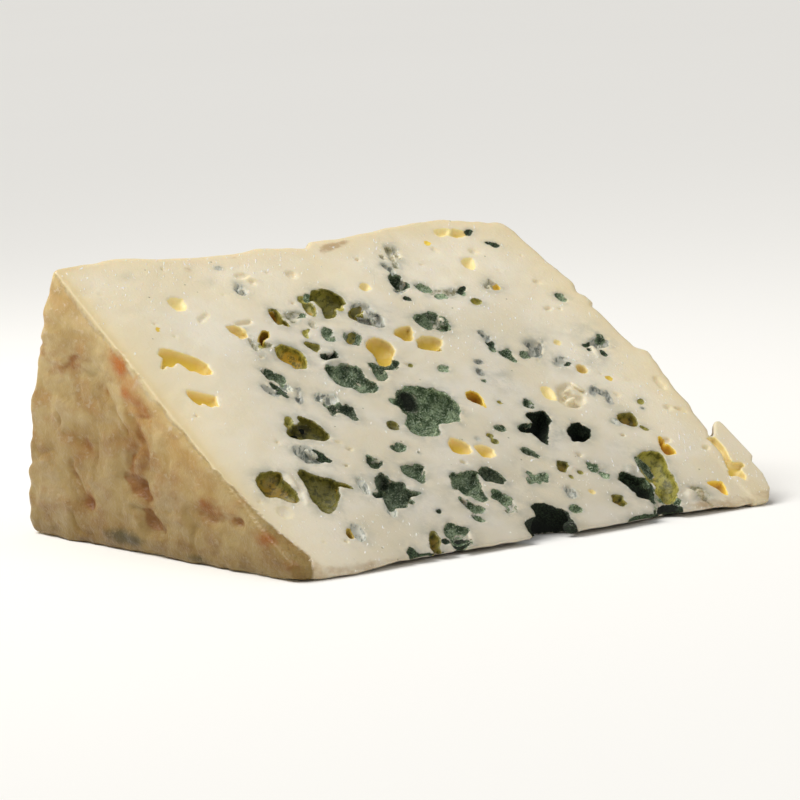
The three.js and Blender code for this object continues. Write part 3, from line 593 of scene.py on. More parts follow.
    outlined(1.0, WET, 0.5, (34.2, 80.9), (34, 82.4), (34.6, 83.4), (35.4, 84.2), (35.9, 83.2),
        (36.1, 81.7), (35.6, 80.8), (34.9, 80.5)),
    outlined(1.3, WET, 0.6, (31.6, 47), (32.2, 48.3), (33.2, 48.6), (33.6, 47.9), (34.6, 47.9),
        (35.6, 47.5), (35.4, 46), (34.8, 45.4), (33, 45.6)),
    Eye(20.6, 32.2, 3.0, 1.9, -60, 1.2, WET), Eye(19.6, 31.6, 1.4, 0.7, 85, 1.6, WET, (), 0.2),
    Eye(23.0, 31.0, 1.8, 0.35, -72, 1.2, DARK, (), 1.0), Eye(26.0, 21.4, 2.4, 0.8, 80, 0.6, WET, (), 0.6),
    Eye(27.8, 14.0, 2.0, 0.6, 70, 0.6, WET, (), 0.6),
    outlined(1.7, WET, 0.5, (53.6, 69.9), (54.3, 71.3), (55.2, 72.4), (56.7, 73.4), (58.4, 73.3),
        (59.2, 72.4), (59, 70.8), (59.7, 69.3), (59.6, 67.8), (58.7, 66.4), (57.3, 66), (55.5, 67.1),
        (54.4, 67.6)),
    Eye(55.3, 71.0, 2.5, 0.8, 33, 2.0, OLIVE, (), 0.1), Eye(58.6, 67.9, 1.8, 0.7, 68, 1.9, WET, (), 0.1),
    Eye(55.0, 68.6, 1.1, 0.5, -50, 1.6, WET, (), 0.3), Eye(78.3, 58.4, 1.8, 0.6, 98, 0.9, WET),
    Eye(78.2, 56.3, 0.9, 0.6, 20, 1.2, DARK, (), 0.9), Eye(77.6, 54.7, 0.9, 0.4, 75, 0.8, MOULD, (), 0.4),
    outlined(1.5, WET, 0.34, (86, 55), (87.2, 55.8), (88.6, 55.7), (89.2, 55.2), (88.9, 53.9),
        (87.8, 52.4), (86.6, 51), (86.2, 50.5), (85, 51.2), (85.1, 52.6), (86, 53.4), (85.9, 54.4)),
    Eye(88.4, 53.2, 2.0, 0.35, 55, 1.2, WET, (), 0.2), Eye(83.6, 51.6, 1.0, 0.6, 30, 1.0, MOULD, (), 0.35),
    Eye(90.0, 48.0, 1.9, 1.3, 25, 0.9, WET, (), 0.45), Eye(91.1, 47.3, 0.6, 0.3, 40, 1.0, DARK, (), 1.0),
    outlined(1.7, WET, 0.45, (100.3, 51.2), (100.6, 52.6), (101.8, 53.3), (103, 53.6), (103.6, 54.6),
        (103.9, 53.3), (104.4, 52.4), (104.2, 51), (103, 50.9), (101.6, 50.5), (100.4, 50.6)),
    Eye(99.3, 51.8, 1.0, 0.35, 10, 0.9, DARK, (), 0.9), Eye(98.6, 50.2, 0.5, 0.3, 80, 0.8, DARK, (), 0.9),
    Eye(101.1, 48.8, 0.9, 0.35, 85, 0.9, DARK, (), 0.9),
    Eye(103.6, 53.5, 0.9, 0.4, 70, 1.6, MOULD, (), 0.3), Eye(91.0, 38.2, 1.0, 0.22, 50, 0.5, WET, (), 0.3),
    Eye(92.4, 37.4, 1.2, 0.25, -70, 0.6, WET, (), 0.3), Eye(93.1, 35.4, 1.5, 0.3, 75, 0.7, WET, (), 0.25),
    Eye(71.8, 51.0, 0.7, 0.6, 0, 0.5, WET, (), 0.3), Eye(70.1, 48.1, 1.0, 0.5, 70, 0.7, WET, (), 0.2),
)


def pinholes(seed: int, count: int) -> tuple[Eye, ...]:
    """Draws small eyes at random places on the cut: pale ones anywhere, mouldy ones near its middle.

    Args:
        seed: Seed of the draws.
        count: How many to draw. One whose centre is close to the edge of the cut, or within a
            millimetre of the reach of one of EYES, is left out.

    Returns:
        The small eyes.
    """
    rng = np.random.default_rng(seed)
    drawn = []
    for _ in range(count):
        mouldy = rng.random() < 0.45
        u, v = (rng.normal(55, 22), rng.normal(36, 20)) if mouldy else rng.uniform((3, 4), (105, 92))
        size, stretch = rng.uniform(0.2, 0.45), rng.uniform(0.6, 1.0)
        lining = (MOULD, WET, OLIVE)[rng.integers(3)] if mouldy else PALE
        clear = all(math.hypot(u - eye.u, v - eye.v) > eye.reach + 1.0 for eye in EYES)
        if clear and 3 < u < 105 and 3 < v < 92:
            turn, depth = rng.uniform(0, 180), rng.uniform(0.3, 0.8)
            drawn.append(Eye(u, v, size, size * stretch, turn, depth, lining))
    return tuple(drawn)


PINHOLES = pinholes(seed=5, count=90)
# Small eyes that begin within the outline of one before them; their patches are laid along
# the line of sight, and the dark ones are painted shadow under the outer eye's rim
INNER_EYES = tuple(
    eye for order, eye in enumerate(EYES)
    if not eye.outline and any(other.outline and other.plan(eye.u, eye.v) < -0.1 for other in EYES[:order])
)


@dataclass(frozen=True)
class Patch:
    """A soft elliptical patch: centre, half sizes, turn in degrees and strength."""

    a: float
    b: float
    half_length: float
    half_width: float
    turn: float
    strength: float

    def at(self, a: Array, b: Array) -> Array:
        """Strength at (a, b): a bell of the distance in half sizes.

        Args:
            a: First coordinate of the points.
            b: Second coordinate of the points.

        Returns:
            One strength for each point.
        """
        along_it, across_it = turned(a, b, (self.a, self.b), self.turn)
        away = (along_it / self.half_length) ** 2 + (across_it / self.half_width) ** 2
        return self.strength * np.exp(-away)


def patches(*rows: tuple[float, ...]) -> tuple[Patch, ...]:
    """Patches from rows of their values, in the order of their fields."""
    return tuple(Patch(*row) for row in rows)


def patched(these: tuple[Patch, ...], a: Array, b: Array) -> Array:
    """The sum of soft patches at (a, b)."""
    return sum((patch.at(a, b) for patch in these), np.zeros(np.broadcast(a, b).shape))


@dataclass(frozen=True)
class Lump:
    """A small lump of paste in or beside an eye: an ellipsoid standing on the cut's axes."""

    u: float
    v: float
    w: float
    half_length: float
    half_width: float
    turn: float
    half_height: float

    def field(self, u: Array, v: Array, w: Array) -> Array:
        """Distance to the lump, less than zero inside, by the ellipsoid rule k (k - 1) / g, mm.

        Args:
            u: Places along the wheel's axis, mm.
            v: Places up the slope, mm.
            w: Depths under the cut, mm.

        Returns:
            One distance for each place.
        """
        reaches = (*turned(u, v, (self.u, self.v), self.turn), w - self.w)
        sides = tuple(zip(reaches, (self.half_length, self.half_width, self.half_height)))
        k = np.sqrt(sum((reach / half) ** 2 for reach, half in sides))
        g = np.sqrt(sum((reach / half**2) ** 2 for reach, half in sides))
        return k * (k - 1.0) / np.maximum(g, 1e-6)


# Haze of mould just under the cut, in (u, v)
HAZES: tuple[Patch, ...] = patches(
    (26, 51, 4.5, 3.5, -40, 0.5), (73.5, 45, 4.5, 2.4, 50, 0.55), (25.5, 21, 2.6, 3.4, 0, 0.35),
    (98, 47, 4.5, 2.6, 20, 0.5), (61.7, 31.4, 1.6, 1.1, 0, 0.5), (36, 27.5, 2.4, 1.8, 0, 0.4),
    (77, 28, 3.0, 2.4, 0, 0.5), (74.5, 26.8, 2.4, 1.6, 30, 0.6), (83.5, 14.8, 2.6, 1.2, 10, 0.8),
    (71.5, 33, 2.4, 2.4, 0, 0.35), (66, 84, 5.0, 1.6, 100, 0.2), (101, 56, 5.0, 3.5, 0, 0.4),
    (90, 57, 4.0, 3.0, 0, 0.3), (62, 70, 3.4, 2.4, 0, 0.3), (44, 57, 6.0, 4.0, 0, 0.3),
    (60, 47, 4.0, 4.0, 0, 0.25), (49, 30, 6.0, 3.0, 0, 0.25), (41, 15, 5.0, 6.0, 0, 0.25),
    (57, 13, 4.0, 5.0, 0, 0.3), (78, 57, 3.0, 4.0, 0, 0.35), (70, 66, 5.0, 4.0, 0, 0.3),
    (93, 33, 3.6, 2.6, 70, 0.4), (90, 46, 4.0, 3.0, 0, 0.3), (61, 21, 4.0, 3.0, 0, 0.25),
    (30, 86, 1.6, 1.2, 0, 0.3), (14, 90, 2.4, 1.4, 0, 0.3), (86, 21, 3.0, 2.0, 0, 0.25),
)

# Lumps of torn paste and beads in the eyes
LUMPS: tuple[Lump, ...] = tuple(Lump(*row) for row in (
    (57.1, 70.2, 0.4, 1.2, 0.8, 60, 0.8), (58.0, 68.2, 0.5, 1.0, 0.7, 40, 0.8),
    (35.1, 82.1, 0.5, 0.8, 0.5, 80, 0.5), (55.6, 70.6, 0.9, 0.9, 0.4, 40, 0.6),
    (29.0, 62.4, 0.0, 2.4, 0.7, 105, 0.6), (84.9, 36.2, 0.1, 0.9, 0.6, 30, 0.7),
    (84.0, 37.8, 0.2, 0.6, 0.4, 20, 0.5), (88.3, 39.6, 0.0, 1.5, 0.4, 108, 0.4),
    (39.2, 85.2, 0.1, 1.5, 0.25, -43, 0.35), (72.3, 65.2, 0.4, 1.6, 0.6, 80, 0.9),
    (99.4, 49.2, 0.0, 1.9, 0.35, 80, 0.5), (28.6, 69.8, 0.3, 0.8, 0.4, 60, 0.5),
    (89.5, 73.3, 0.3, 1.0, 0.6, 70, 0.6), (90.0, 28.0, 0.1, 1.0, 0.5, 75, 0.5),
    (32.9, 47.0, 0.8, 0.8, 0.6, 40, 0.6), (40.9, 57.0, 0.0, 1.8, 0.6, 10, 0.6),
    (39.4, 72.9, 0.5, 1.5, 0.5, 80, 0.7), (48.0, 74.2, 0.1, 1.6, 0.6, 85, 0.5),
    (21.4, 32.4, 0.3, 1.7, 0.7, -65, 0.6), (91.4, 4.6, 0.0, 1.5, 0.9, 60, 0.8),
    (93.6, 4.4, -0.1, 1.3, 0.8, 80, 0.7), (71.6, 17.0, 0.3, 0.8, 0.6, 0, 0.6),
    (61.4, 2.2, 0.9, 1.3, 1.6, 80, 1.0), (52.2, 72.4, 0.5, 1.0, 0.5, -20, 0.6),
    (26.1, 50.6, 0.4, 1.4, 0.5, -60, 0.5), (83.6, 14.2, 0.0, 1.5, 0.7, 60, 0.5),
    (102.4, 51.6, 1.0, 1.0, 0.6, 20, 0.6), (12.9, 25.4, 0.1, 2.4, 0.5, 84, 0.5),
    (13.0, 20.4, 0.1, 1.9, 0.45, 70, 0.5), (84.2, 36.4, 0.7, 0.9, 0.7, 40, 0.7),
    (85.6, 39.4, 0.5, 0.7, 0.5, 20, 0.6),
))

# Rind of the left end, lobes (+) and hollows (-) in (y, z): half sizes, turn and height in mm
RIND_LOBES: tuple[Patch, ...] = patches(
    (36, 9.5, 8, 6.0, 0, 0.9), (19, 11, 6.0, 5.5, 0, 0.9), (10, 8, 5, 4.0, 0, 0.3),
    (-5, 13, 6.5, 6.0, -30, 1.0), (-30, 5, 9, 3.5, -20, 0.6), (12, 27, 6, 3.6, -50, 0.7),
    (32, 26, 9, 4, 0, 0.5), (-15, 15, 6, 3.6, -35, 0.5), (-2, 24, 5, 2.6, -60, 0.5),
    (44, 21, 5, 6, 0, 0.35), (24, 25, 4, 3.4, 0, 0.4), (-19, 5, 4.5, 2.8, 0, 0.5),
    (46, 5.5, 2.2, 4.5, 0, 0.6), (40, 2.5, 6, 1.4, 0, 0.3), (12, 3.0, 7, 1.6, 0, 0.4),
    (24.5, 8.2, 2.6, 2.0, 20, -1.3), (25, 19.0, 1.9, 1.4, 30, -0.6), (4, 12.4, 3.4, 1.3, 0, -0.8),
    (34.5, 24.2, 0.8, 1.0, 0, -0.6), (8, 19, 1.8, 3.6, 20, -0.9), (-17, 9.4, 3.6, 1.4, 0, -0.9),
    (2, 6, 2.4, 1.4, 0, -0.7), (20, 33.6, 4.0, 1.2, 0, -0.6), (-27, 9.0, 2.4, 1.0, 0, -0.5),
)
# Its creases: lines of (y, z) with half width and depth
RIND_CREASES: tuple[tuple[float, float, Points], ...] = (
    (0.5, 0.3, ((38, 32.6), (33, 34.6), (30, 34.0), (22, 35.8))),
    (0.6, 0.7, ((30, 15.4), (26, 11.2), (24, 6.5))), (0.8, 0.9, ((12, 14.4), (4, 11.3), (1.6, 10.2))),
    (0.6, 0.6, ((7, 9.2), (0, 5.8), (-3, 5.0))), (0.9, 0.8, ((7, 26), (4.4, 21), (3, 16.5))),
    (0.5, 0.4, ((16, 30), (12, 27.5), (10, 22))), (0.6, 0.5, ((-1, 26), (3, 25.6), (6, 25))),
    (0.5, 0.4, ((-10, 9), (-13, 6), (-12, 3))), (0.6, 0.5, ((30, 6), (29, 3), (24, 2.2))),
    (0.5, 0.4, ((-20, 10.4), (-24, 9.6), (-29, 8.4))), (0.5, 0.35, ((46, 14), (41, 16.5), (36, 16.8))),
    (0.5, 0.4, ((20, 22), (22, 17), (21, 13.5))),
)

FLAKE_OUTLINE: Points = (
    (104, -0.4), (107.4, -0.2), (110, 2.8), (111.4, 7), (111.5, 11), (112.9, 12.6), (112.9, 23.4),
    (112.2, 24.3), (111.2, 23.9), (107.7, 19.8), (104, 17),
)
# The open notch between the wedge and the top of the flake
NOTCH: Points = (
    (106.9, 19.9), (108.0, 19.7), (108.6, 20.4), (110.2, 22.9), (111.4, 24.1), (114, 26), (114, 29),
    (109.8, 28.5), (109.0, 27.2), (108.7, 25), (108.5, 22.5),
)


@dataclass
class WedgeSolid:
    """The solid of the wedge as a field over (u, v, w), less than zero inside, mm.

    It is the soft maximum of its sides: the cut, the base, the curved rind and the two flat
    rinds. The eyes and the notch are taken out of it, and the flake and the lumps joined to it.
    A field is used because the eyes undercut their rims and break through the thin edge, where a
    grid of two parameters would fold over itself.
    """

    step: float
    rounding: float = 1.7
    flake_depth: float = 13.0
    flake_lean: float = 0.28
    notch_depth: float = 5.0
    notch_lean: tuple[float, float] = (1.04, 1.14)
    # Corners of the grid, and of its parts round the flake and the notch
    low: Triple = (-3.6, -3.4, -2.2)
    high: Triple = (115.0, 100.2, 55.0)
    flake_box: tuple[Triple, Triple] = ((100, -3, -2), (115, 28, 24))
    notch_box: tuple[Triple, Triple] = ((104, 16, -2), (115, 36, 8))
    # Radius of the wheel along u
    radius: Points = (
        (0, 95.5), (8, 96.0), (15, 96.7), (25, 95.1), (33, 94.7), (41, 94.2), (46, 94.8), (52, 93.9),
        (56.5, 93.2), (59, 94.8), (65, 94.8), (72, 95.7), (80, 96.8), (88, 97.6), (92, 97.8), (96, 96.5),
        (100, 95.5), (103, 94.5), (105.5, 94.7), (108, 93),
    )
    # Where the right flat rind meets the cut: u along v, and its mean below
    right_edge: Points = (
        (-4, 107.6), (8, 110.0), (16, 109.4), (22.5, 108.7), (27, 109.1), (31, 110.1), (35, 109.9),
        (40, 110.7), (44.5, 111.6), (47.5, 112.0), (50, 110.0), (55, 109.4), (61, 109.3), (63.5, 108.8),
        (65, 109.8), (67, 109.6), (68.5, 108.5), (72, 109.6), (76, 109.0), (80, 108.2), (90, 107.2),
        (100, 106.5),
    )
    right_mean: float = 109.3
    # Where the paste has broken away under the thin edge, and where that edge sags to the base
    edge_breaks: Points = (
        (0, 3.4), (2, 1.9), (5, 0.8), (9, 0.2), (50, 0.1), (53, 1.1), (59, 1.1), (62, 0.2), (79, 0.1),
        (81.5, 2.3), (88, 1.6), (92, 0.5), (95, 0.1), (102, 0.1), (107, 1.0), (112, 2.6),
    )
    edge_sags: Points = ((-2, 0.2), (5, 0.85), (11, 0.85), (22, 0.1), (95, 0.05), (101, 0.6), (110, 0.1))
    noise: LatticeNoise = field(default_factory=lambda: LatticeNoise(1847))

    def axes(self) -> tuple[Array, Array, Array]:
        """The grid's u, v and w, shaped so that they broadcast over it."""
        lines = [np.arange(lo, hi, self.step, dtype=np.float32) for lo, hi in zip(self.low, self.high)]
        return lines[0][:, None, None], lines[1][None, :, None], lines[2][None, None, :]

    @staticmethod
    def upright(v: Array, w: Array) -> tuple[Array, Array]:
        """Distance behind the thin edge and height over the base of a point (v, w), mm.

        Args:
            v: Places up the slope, mm.
            w: Depths under the cut, mm.

        Returns:
            The distances and the heights.
        """
        behind = v * math.cos(CUT_ANGLE) + w * math.sin(CUT_ANGLE)
        height = THIN_EDGE_HEIGHT + v * math.sin(CUT_ANGLE) - w * math.cos(CUT_ANGLE)
        return behind, height

    def rind_radius(self, u: Array, height: Array) -> Array:
        """The wheel's radius at u, with the sag near the base, mm."""
        return along(self.radius, u) + 0.9 * bell(height, 4.2, 3.4)

    def left_relief(self, behind: Array, height: Array) -> Array:
        """How far the left flat rind stands out: its lobes less its creases, mm.

        Noise sways both by a millimetre or two, so that no crease runs straight.

        Args:
            behind: Distance behind the thin edge, mm.
            height: Height over the base, mm.

        Returns:
            One height for each place.
        """
        y, z = behind + THIN_EDGE_Y, height
        spots = np.stack([a.ravel() for a in (0.0 * y, 0.6 * y, z)], axis=1)
        along_it, up_it = (self.noise.at(spots + apart, 3.2).reshape(y.shape) for apart in (3.0, 17.0))
        y, z = y + 2.2 * along_it, z + 1.3 * up_it
        relief = patched(RIND_LOBES, y, z)
        for half_width, depth, line in RIND_CREASES:
            relief = relief - 0.8 * depth * bell(line_distance(y, z, line), 0.0, 1.3 * half_width)
        return 1.05 * relief

    def sides(self, u: Array, v: Array, w: Array) -> dict[str, Array]:
        """The distance past each side of the wedge, mm.

        The cut is a plane with low waves. The base is a plane that rises under the thin edge.
        The curved rind is a cylinder about the thin edge, and the flat rinds are planes across u.
        The right one is wavy along the cut and evens out with the depth under it.

        Args:
            u: Place along the wheel's axis, mm.
            v: Place up the slope, mm.
            w: Depth under the cut, mm.

        Returns:
            Fields that broadcast over the arguments, by name.
        """
        behind, height = self.upright(v, w)
        waves = np.sin(u / 9.1 + 0.7) * np.cos(v / 7.3 + 0.2) + 0.6 * np.sin(u / 4.3 - v / 5.9)
        lifted = 0.4 * bell(u, 62, 4.0) * bell(v, 93, 2.4)
        worn = along(self.edge_breaks, u) * math.cos(CUT_ANGLE)
        edge_height = THIN_EDGE_HEIGHT * (1.0 - along(self.edge_sags, u))
        under = edge_height * np.clip(1.0 - behind / 8.0, 0.0, 1.0)
        right_edge = along(self.right_edge, v)
        right_edge = right_edge + (self.right_mean - right_edge) * 0.7 * ease(w, 2.0, 18.0)
        right_of_middle = -0.9 * bell(height, 20, 8) + 0.7 * bell(behind, 70, 14) * bell(height, 12, 8)
        return {
            "cut": -w - 0.18 * waves - lifted,
            "base": under - height,
            "front": worn - behind,
            "curved": np.hypot(behind, height - THIN_EDGE_HEIGHT) - self.rind_radius(u, height),
            "left": -u - soft_min(0.35 + self.left_relief(behind, height), 0.8, 0.8),
            "right": u - right_edge - right_of_middle * ease(w, 1.0, 8.0),
        }

    def rind_field(self, sides: dict[str, Array]) -> Array:
        """Distance past the rind as a whole: the soft maximum of its three sides, mm."""
        right = soft_max(sides["curved"], sides["right"], 2.0 * self.rounding)
        return soft_max(right, sides["left"], self.rounding)

    def bare_field(self, u: Array, v: Array, w: Array) -> Array:
        """The wedge without its eyes: the soft maximum of its sides, mm.

        Args:
            u: Places along the wheel's axis, mm.
            v: Places up the slope, mm.
            w: Depths under the cut, mm.

        Returns:
            The field there.
        """
        sides = self.sides(u, v, w)
        top = soft_max(sides["cut"], self.rind_field(sides), 0.55 * self.rounding)
        edge = soft_max(sides["front"], sides["base"], 0.8)
        return soft_max(top, edge, 0.9)

    def plain(self, u: Array, v: Array, w: Array) -> Array:
        """Whether points of the skin are on the base, the curved rind or the right end.

        Args:
            u: Places along the wheel's axis, mm.
            v: Places up the slope, mm.
            w: Depths under the cut, mm.

        Returns:
            True or false for each point.
        """
        sides = self.sides(u, v, w)
        behind, height = self.upright(v, w)
        far = (w > 4.0) & (sides["left"] < -3.0) & (self.rind_field(sides) > -1.6)
        return far | ((height < 0.25) & (behind > 5.0) & (w > 3.0))

    def flake_field(self, u: Array, v: Array, w: Array) -> Array:
        """The flake at the right end: its outline carried down, leaning back under the wedge, mm.

        Args:
            u: Places along the wheel's axis, mm.
            v: Places up the slope, mm.
            w: Depths under the cut, mm.

        Returns:
            The field there.
        """
        _, height = self.upright(v, w)
        plan = outline_distance(u + self.flake_lean * np.maximum(w, 0.0), v + 0 * w, FLAKE_OUTLINE)
        walls = soft_max(plan, -w - 0.15, 0.6)
        return soft_max(np.maximum(walls, w - self.flake_depth), -height, 0.6)

    def notch_field(self, u: Array, v: Array, w: Array) -> Array:
        """The notch beside the flake: its outline carried down, leaning out of the wedge, mm.

        Args:
            u: Places along the wheel's axis, mm.
            v: Places up the slope, mm.
            w: Depths under the cut, mm.

        Returns:
            The field there.
        """
        right, up = self.notch_lean
        plan = outline_distance(u - right * np.maximum(w, 0.0), v - up * np.maximum(w, 0.0), NOTCH)
        return np.maximum(plan, w - self.notch_depth)

    def around(self, axes: tuple[Array, ...], lows: tuple, highs: tuple) -> tuple[slice, slice, slice]:
        """The part of the grid between two corners.

        Args:
            axes: The grid's u, v and w.
            lows: Least u, v and w of the part, mm.
            highs: Greatest u, v and w of the part, mm.

        Returns:
            One slice for each axis.
        """
        spans = []
        for line, lo, hi in zip(axes, lows, highs):
            start, stop = np.searchsorted(line.ravel(), (lo, hi))
            spans.append(slice(max(int(start) - 1, 0), int(stop) + 1))
        return tuple(spans)

    def within(self, axes: tuple[Array, ...], span: tuple[slice, ...]) -> tuple[Array, Array, Array]:
        """The axes of a part of the grid."""
        u, v, w = axes
        return u[span[0]], v[:, span[1]], w[:, :, span[2]]

    def lumps(self, points: Array) -> Array:
        """Height of the rind's lumps: noise folded at zero, in two sizes, on top of broad waves, mm.

        Folded noise is round on top and creased where it passes through zero. The lumps are wider
        than they are high, and they fade out within a centimetre of the cut.

        Args:
            points: Places (u, v, w), one row each, mm.

        Returns:
            One height for each place.
        """
        behind, height = self.upright(points[:, 1], points[:, 2])
        spots = np.stack([points[:, 0], 0.55 * behind, height], axis=1)
        large, small = self.noise.at(spots + 40.0, 4.6), self.noise.at(spots, 2.4)
        folded = 1.7 * np.hypot(large, 0.12) + 0.8 * np.hypot(small, 0.1)
        lumps = folded + 0.8 * self.noise.at(spots, 8.5) + 0.26 * self.noise.at(spots, 1.1) - 0.95
        return 0.46 * lumps * (0.15 + 0.85 * ease(points[:, 2], 1.0, 9.0))

    def roughen(self, solid: Array, axes: tuple[Array, ...]) -> Array:
        """Lays the rind's lumps and the paste's fine unevenness on the field, near its surface.

        Args:
            solid: The field over the whole grid, changed in place.
            axes: The grid's u, v and w.

        Returns:
            The field, cut off level with the base.
        """
        reach = 2.6
        near = np.flatnonzero(np.abs(solid.ravel()) < reach)
        i, j, k = np.unravel_index(near, solid.shape)
        points = np.stack([line.ravel()[index] for line, index in zip(axes, (i, j, k))], axis=1)
        on_rind = ease(self.rind_field(self.sides(*points.T)), -1.8, -0.3)
        paste = 0.09 * self.noise.at(points, 2.6) + 0.015 * self.noise.at(points, 1.1)
        solid.ravel()[near] += paste * (1.0 - on_rind) - on_rind * (self.lumps(points) - 0.1)
        return np.maximum(solid, -self.upright(*axes[1:])[1])

    def hollow(self, axes: tuple[Array, ...], shape: tuple[int, ...]) -> Array:
        """The field of all eyes together, each worked out in its own part of the grid, mm.

        Args:
            axes: The grid's u, v and w.
            shape: The grid's shape.

        Returns:
            The field over the whole grid.
        """
        far_off = 9.0
        hollow = np.full(shape, far_off, dtype=np.float32)
        for eye in (*EYES, *PINHOLES):
            far = eye.reach + 1.8
            lows, highs = (eye.u - far, eye.v - far, -2.2), (eye.u + far, eye.v + far, eye.depth + 1.2)
            span = self.around(axes, lows, highs)
            own = eye.ragged_field(*self.within(axes, span), self.noise)
            hollow[span] = soft_min(hollow[span], own.astype(np.float32), 0.4)
        return hollow

    def whole(self) -> Array:
        """The finished field over the whole grid, mm."""
        axes = self.axes()
        solid = self.bare_field(*axes).astype(np.float32)
        solid = self.roughen(solid, axes)
        span = self.around(axes, *self.flake_box)
        solid[span] = soft_min(solid[span], self.flake_field(*self.within(axes, span)), 0.5)
        span = self.around(axes, *self.notch_box)
        solid[span] = soft_max(solid[span], -self.notch_field(*self.within(axes, span)), 0.3)
        solid = soft_max(solid, -self.hollow(axes, solid.shape), 0.3)
        for lump in LUMPS:
            far = max(lump.half_length, lump.half_width) + 1.2
            lows = (lump.u - far, lump.v - far, lump.w - far)
            highs = (lump.u + far, lump.v + far, lump.w + far)
            span = self.around(axes, lows, highs)
            own = lump.field(*self.within(axes, span))
            solid[span] = soft_min(solid[span], own, 0.7)
        return self.unpinched(solid)

    @staticmethod
    def unpinched(solid: Array) -> Array:
        """Fills a grid point wherever four in a square are inside and outside by turns.

        The skin would touch itself along an edge there, and its faces couldn't be told apart.

        Args:
            solid: The field over the whole grid, changed in place.

        Returns:
            The field.
        """
        rounds, just_inside = 8, -0.02
        for _ in range(rounds):
            pinched = 0
            for axis in range(3):
                views = []
                for first, second in itertools.product((0, 1), repeat=2):
                    span = [slice(None)] * 3
                    span[(axis + 1) % 3] = slice(1, None) if first else slice(None, -1)
                    span[(axis + 2) % 3] = slice(1, None) if second else slice(None, -1)
                    views.append(solid[tuple(span)])
                inside = [view < 0.0 for view in views]
                turns = (inside[0] == inside[3]) & (inside[1] == inside[2]) & (inside[0] != inside[1])
                pinched += int(turns.sum())
                views[0][turns & inside[1]] = just_inside
                views[1][turns & inside[0]] = just_inside
            if not pinched:
                break
        return solid


class FieldSkin:
    """The closed skin where a field on a grid passes through zero.

    Each grid cell that the skin crosses gets one point, the mean of the crossings on its edges,
    and each crossed grid edge gets one four-sided face through the four cells round it.
    """

    def __init__(self, solid: Array, low: tuple[float, ...], step: float) -> None:
        """Works out the points and faces.

        Args:
            solid: Field on the grid, less than zero inside.
            low: Place of the grid's first corner, mm.
            step: Distance between grid points, mm.
        """
        inside = solid < 0.0
        cells, crossings, corners = [], [], []
        for axis in range(3):
            first = [slice(None)] * 3
            second = [slice(None)] * 3
            first[axis], second[axis] = slice(None, -1), slice(1, None)
            crossed = inside[tuple(first)] != inside[tuple(second)]
            index = np.argwhere(crossed)
            start = solid[tuple(first)][crossed]
            end = solid[tuple(second)][crossed]
            place = index.astype(np.float64)
            place[:, axis] += start / (start - end)
            across, up = (axis + 1) % 3, (axis + 2) % 3
            ring = np.repeat(index[:, None, :], 4, axis=1)
            ring[:, (1, 2), across] -= 1
            ring[:, (2, 3), up] -= 1
            going_in = end < 0.0
            ring[going_in] = ring[going_in][:, ::-1]
            cells.append(np.ravel_multi_index(np.moveaxis(ring, 2, 0), solid.shape))
            crossings.append(place)
            corners.append(len(index))
        cell = np.concatenate(cells)
        names, point_of = np.unique(cell.ravel(), return_inverse=True)
        place = np.repeat(np.concatenate(crossings), 4, axis=0)
        count = np.bincount(point_of, minlength=len(names))
        sums = [np.bincount(point_of, weights=place[:, axis]) for axis in range(3)]
        self.points = np.stack(sums, axis=1) / count[:, None] * step + np.array(low)
        self.faces = point_of.reshape(cell.shape)


# How far the rind laps over the cut's lower left corner: u along v
CORNER_RIND: Points = (
    (-4, 2.6), (0.8, 2.8), (5, 4.3), (9, 3.4), (13, 2.7), (17, 1.6), (22, 1.0), (30, 0.0), (40, -2.0),
    (110, -2.0),
)
# Colour patches of the left flat rind, in (y, z)
BROWN_PATCHES: tuple[Patch, ...] = patches(
    (30, 33.8, 7, 1.6, -10, 0.5), (17.3, 30.6, 3.2, 1.2, 20, 0.4), (2.8, 27.8, 4.2, 1.6, 28, 0.5),
    (6.6, 15.0, 2.6, 4.6, 25, 0.65), (4.6, 11.9, 3.0, 1.4, 0, 0.9), (-16.8, 11.3, 3.0, 1.8, 0, 0.75),
    (-22, 10.4, 5.0, 1.8, 0, 0.4), (-36.4, 6.6, 3.6, 1.6, -20, 0.6), (24.8, 8.8, 2.8, 2.4, 20, 0.5),
    (25.2, 19.3, 2.4, 1.6, 0, 0.3), (1.2, 6.2, 4.4, 1.2, -15, 0.55), (8.6, 19.6, 1.8, 2.8, 0, 0.4),
    (-44, 2.8, 4.0, 1.2, 0, 0.5), (5.0, 24.0, 1.4, 4.0, 10, 0.5), (-27, 9.0, 3.0, 1.2, 0, 0.5),
    (13, 7.0, 3.0, 1.0, 0, 0.3), (38, 29.0, 4.0, 3.0, 0, 0.25), (-9, 7.6, 2.6, 1.2, 0, 0.35),
)
ORANGE_PATCHES: tuple[Patch, ...] = patches(
    (9.6, 35.0, 1.5, 1.3, 30, 0.7), (11.2, 35.7, 4.0, 3.0, 30, 0.75), (3.4, 33.4, 5.8, 2.4, -20, 0.5),
    (-36.4, 7.0, 3.6, 1.8, 0, 0.8), (-28, 12.8, 6.0, 1.8, -30, 0.4), (3.4, 28.2, 5.0, 2.4, 28, 0.36),
    (-43.5, 3.2, 4.0, 1.4, 0, 0.45), (-26, 16.4, 4.0, 1.0, -30, 0.25), (4.6, 12.0, 3.6, 2.2, 0, 0.4),
    (-17, 10.6, 4.6, 2.6, 0, 0.4), (22.8, 30.4, 2.0, 1.6, 0, 0.4), (8.2, 30.2, 1.6, 1.0, 0, 0.4),
    (24.6, 8.4, 2.6, 2.0, 0, 0.7), (7.4, 29.0, 3.2, 1.6, 20, 0.3), (0.6, 24.2, 2.6, 1.8, 50, 0.25),
)
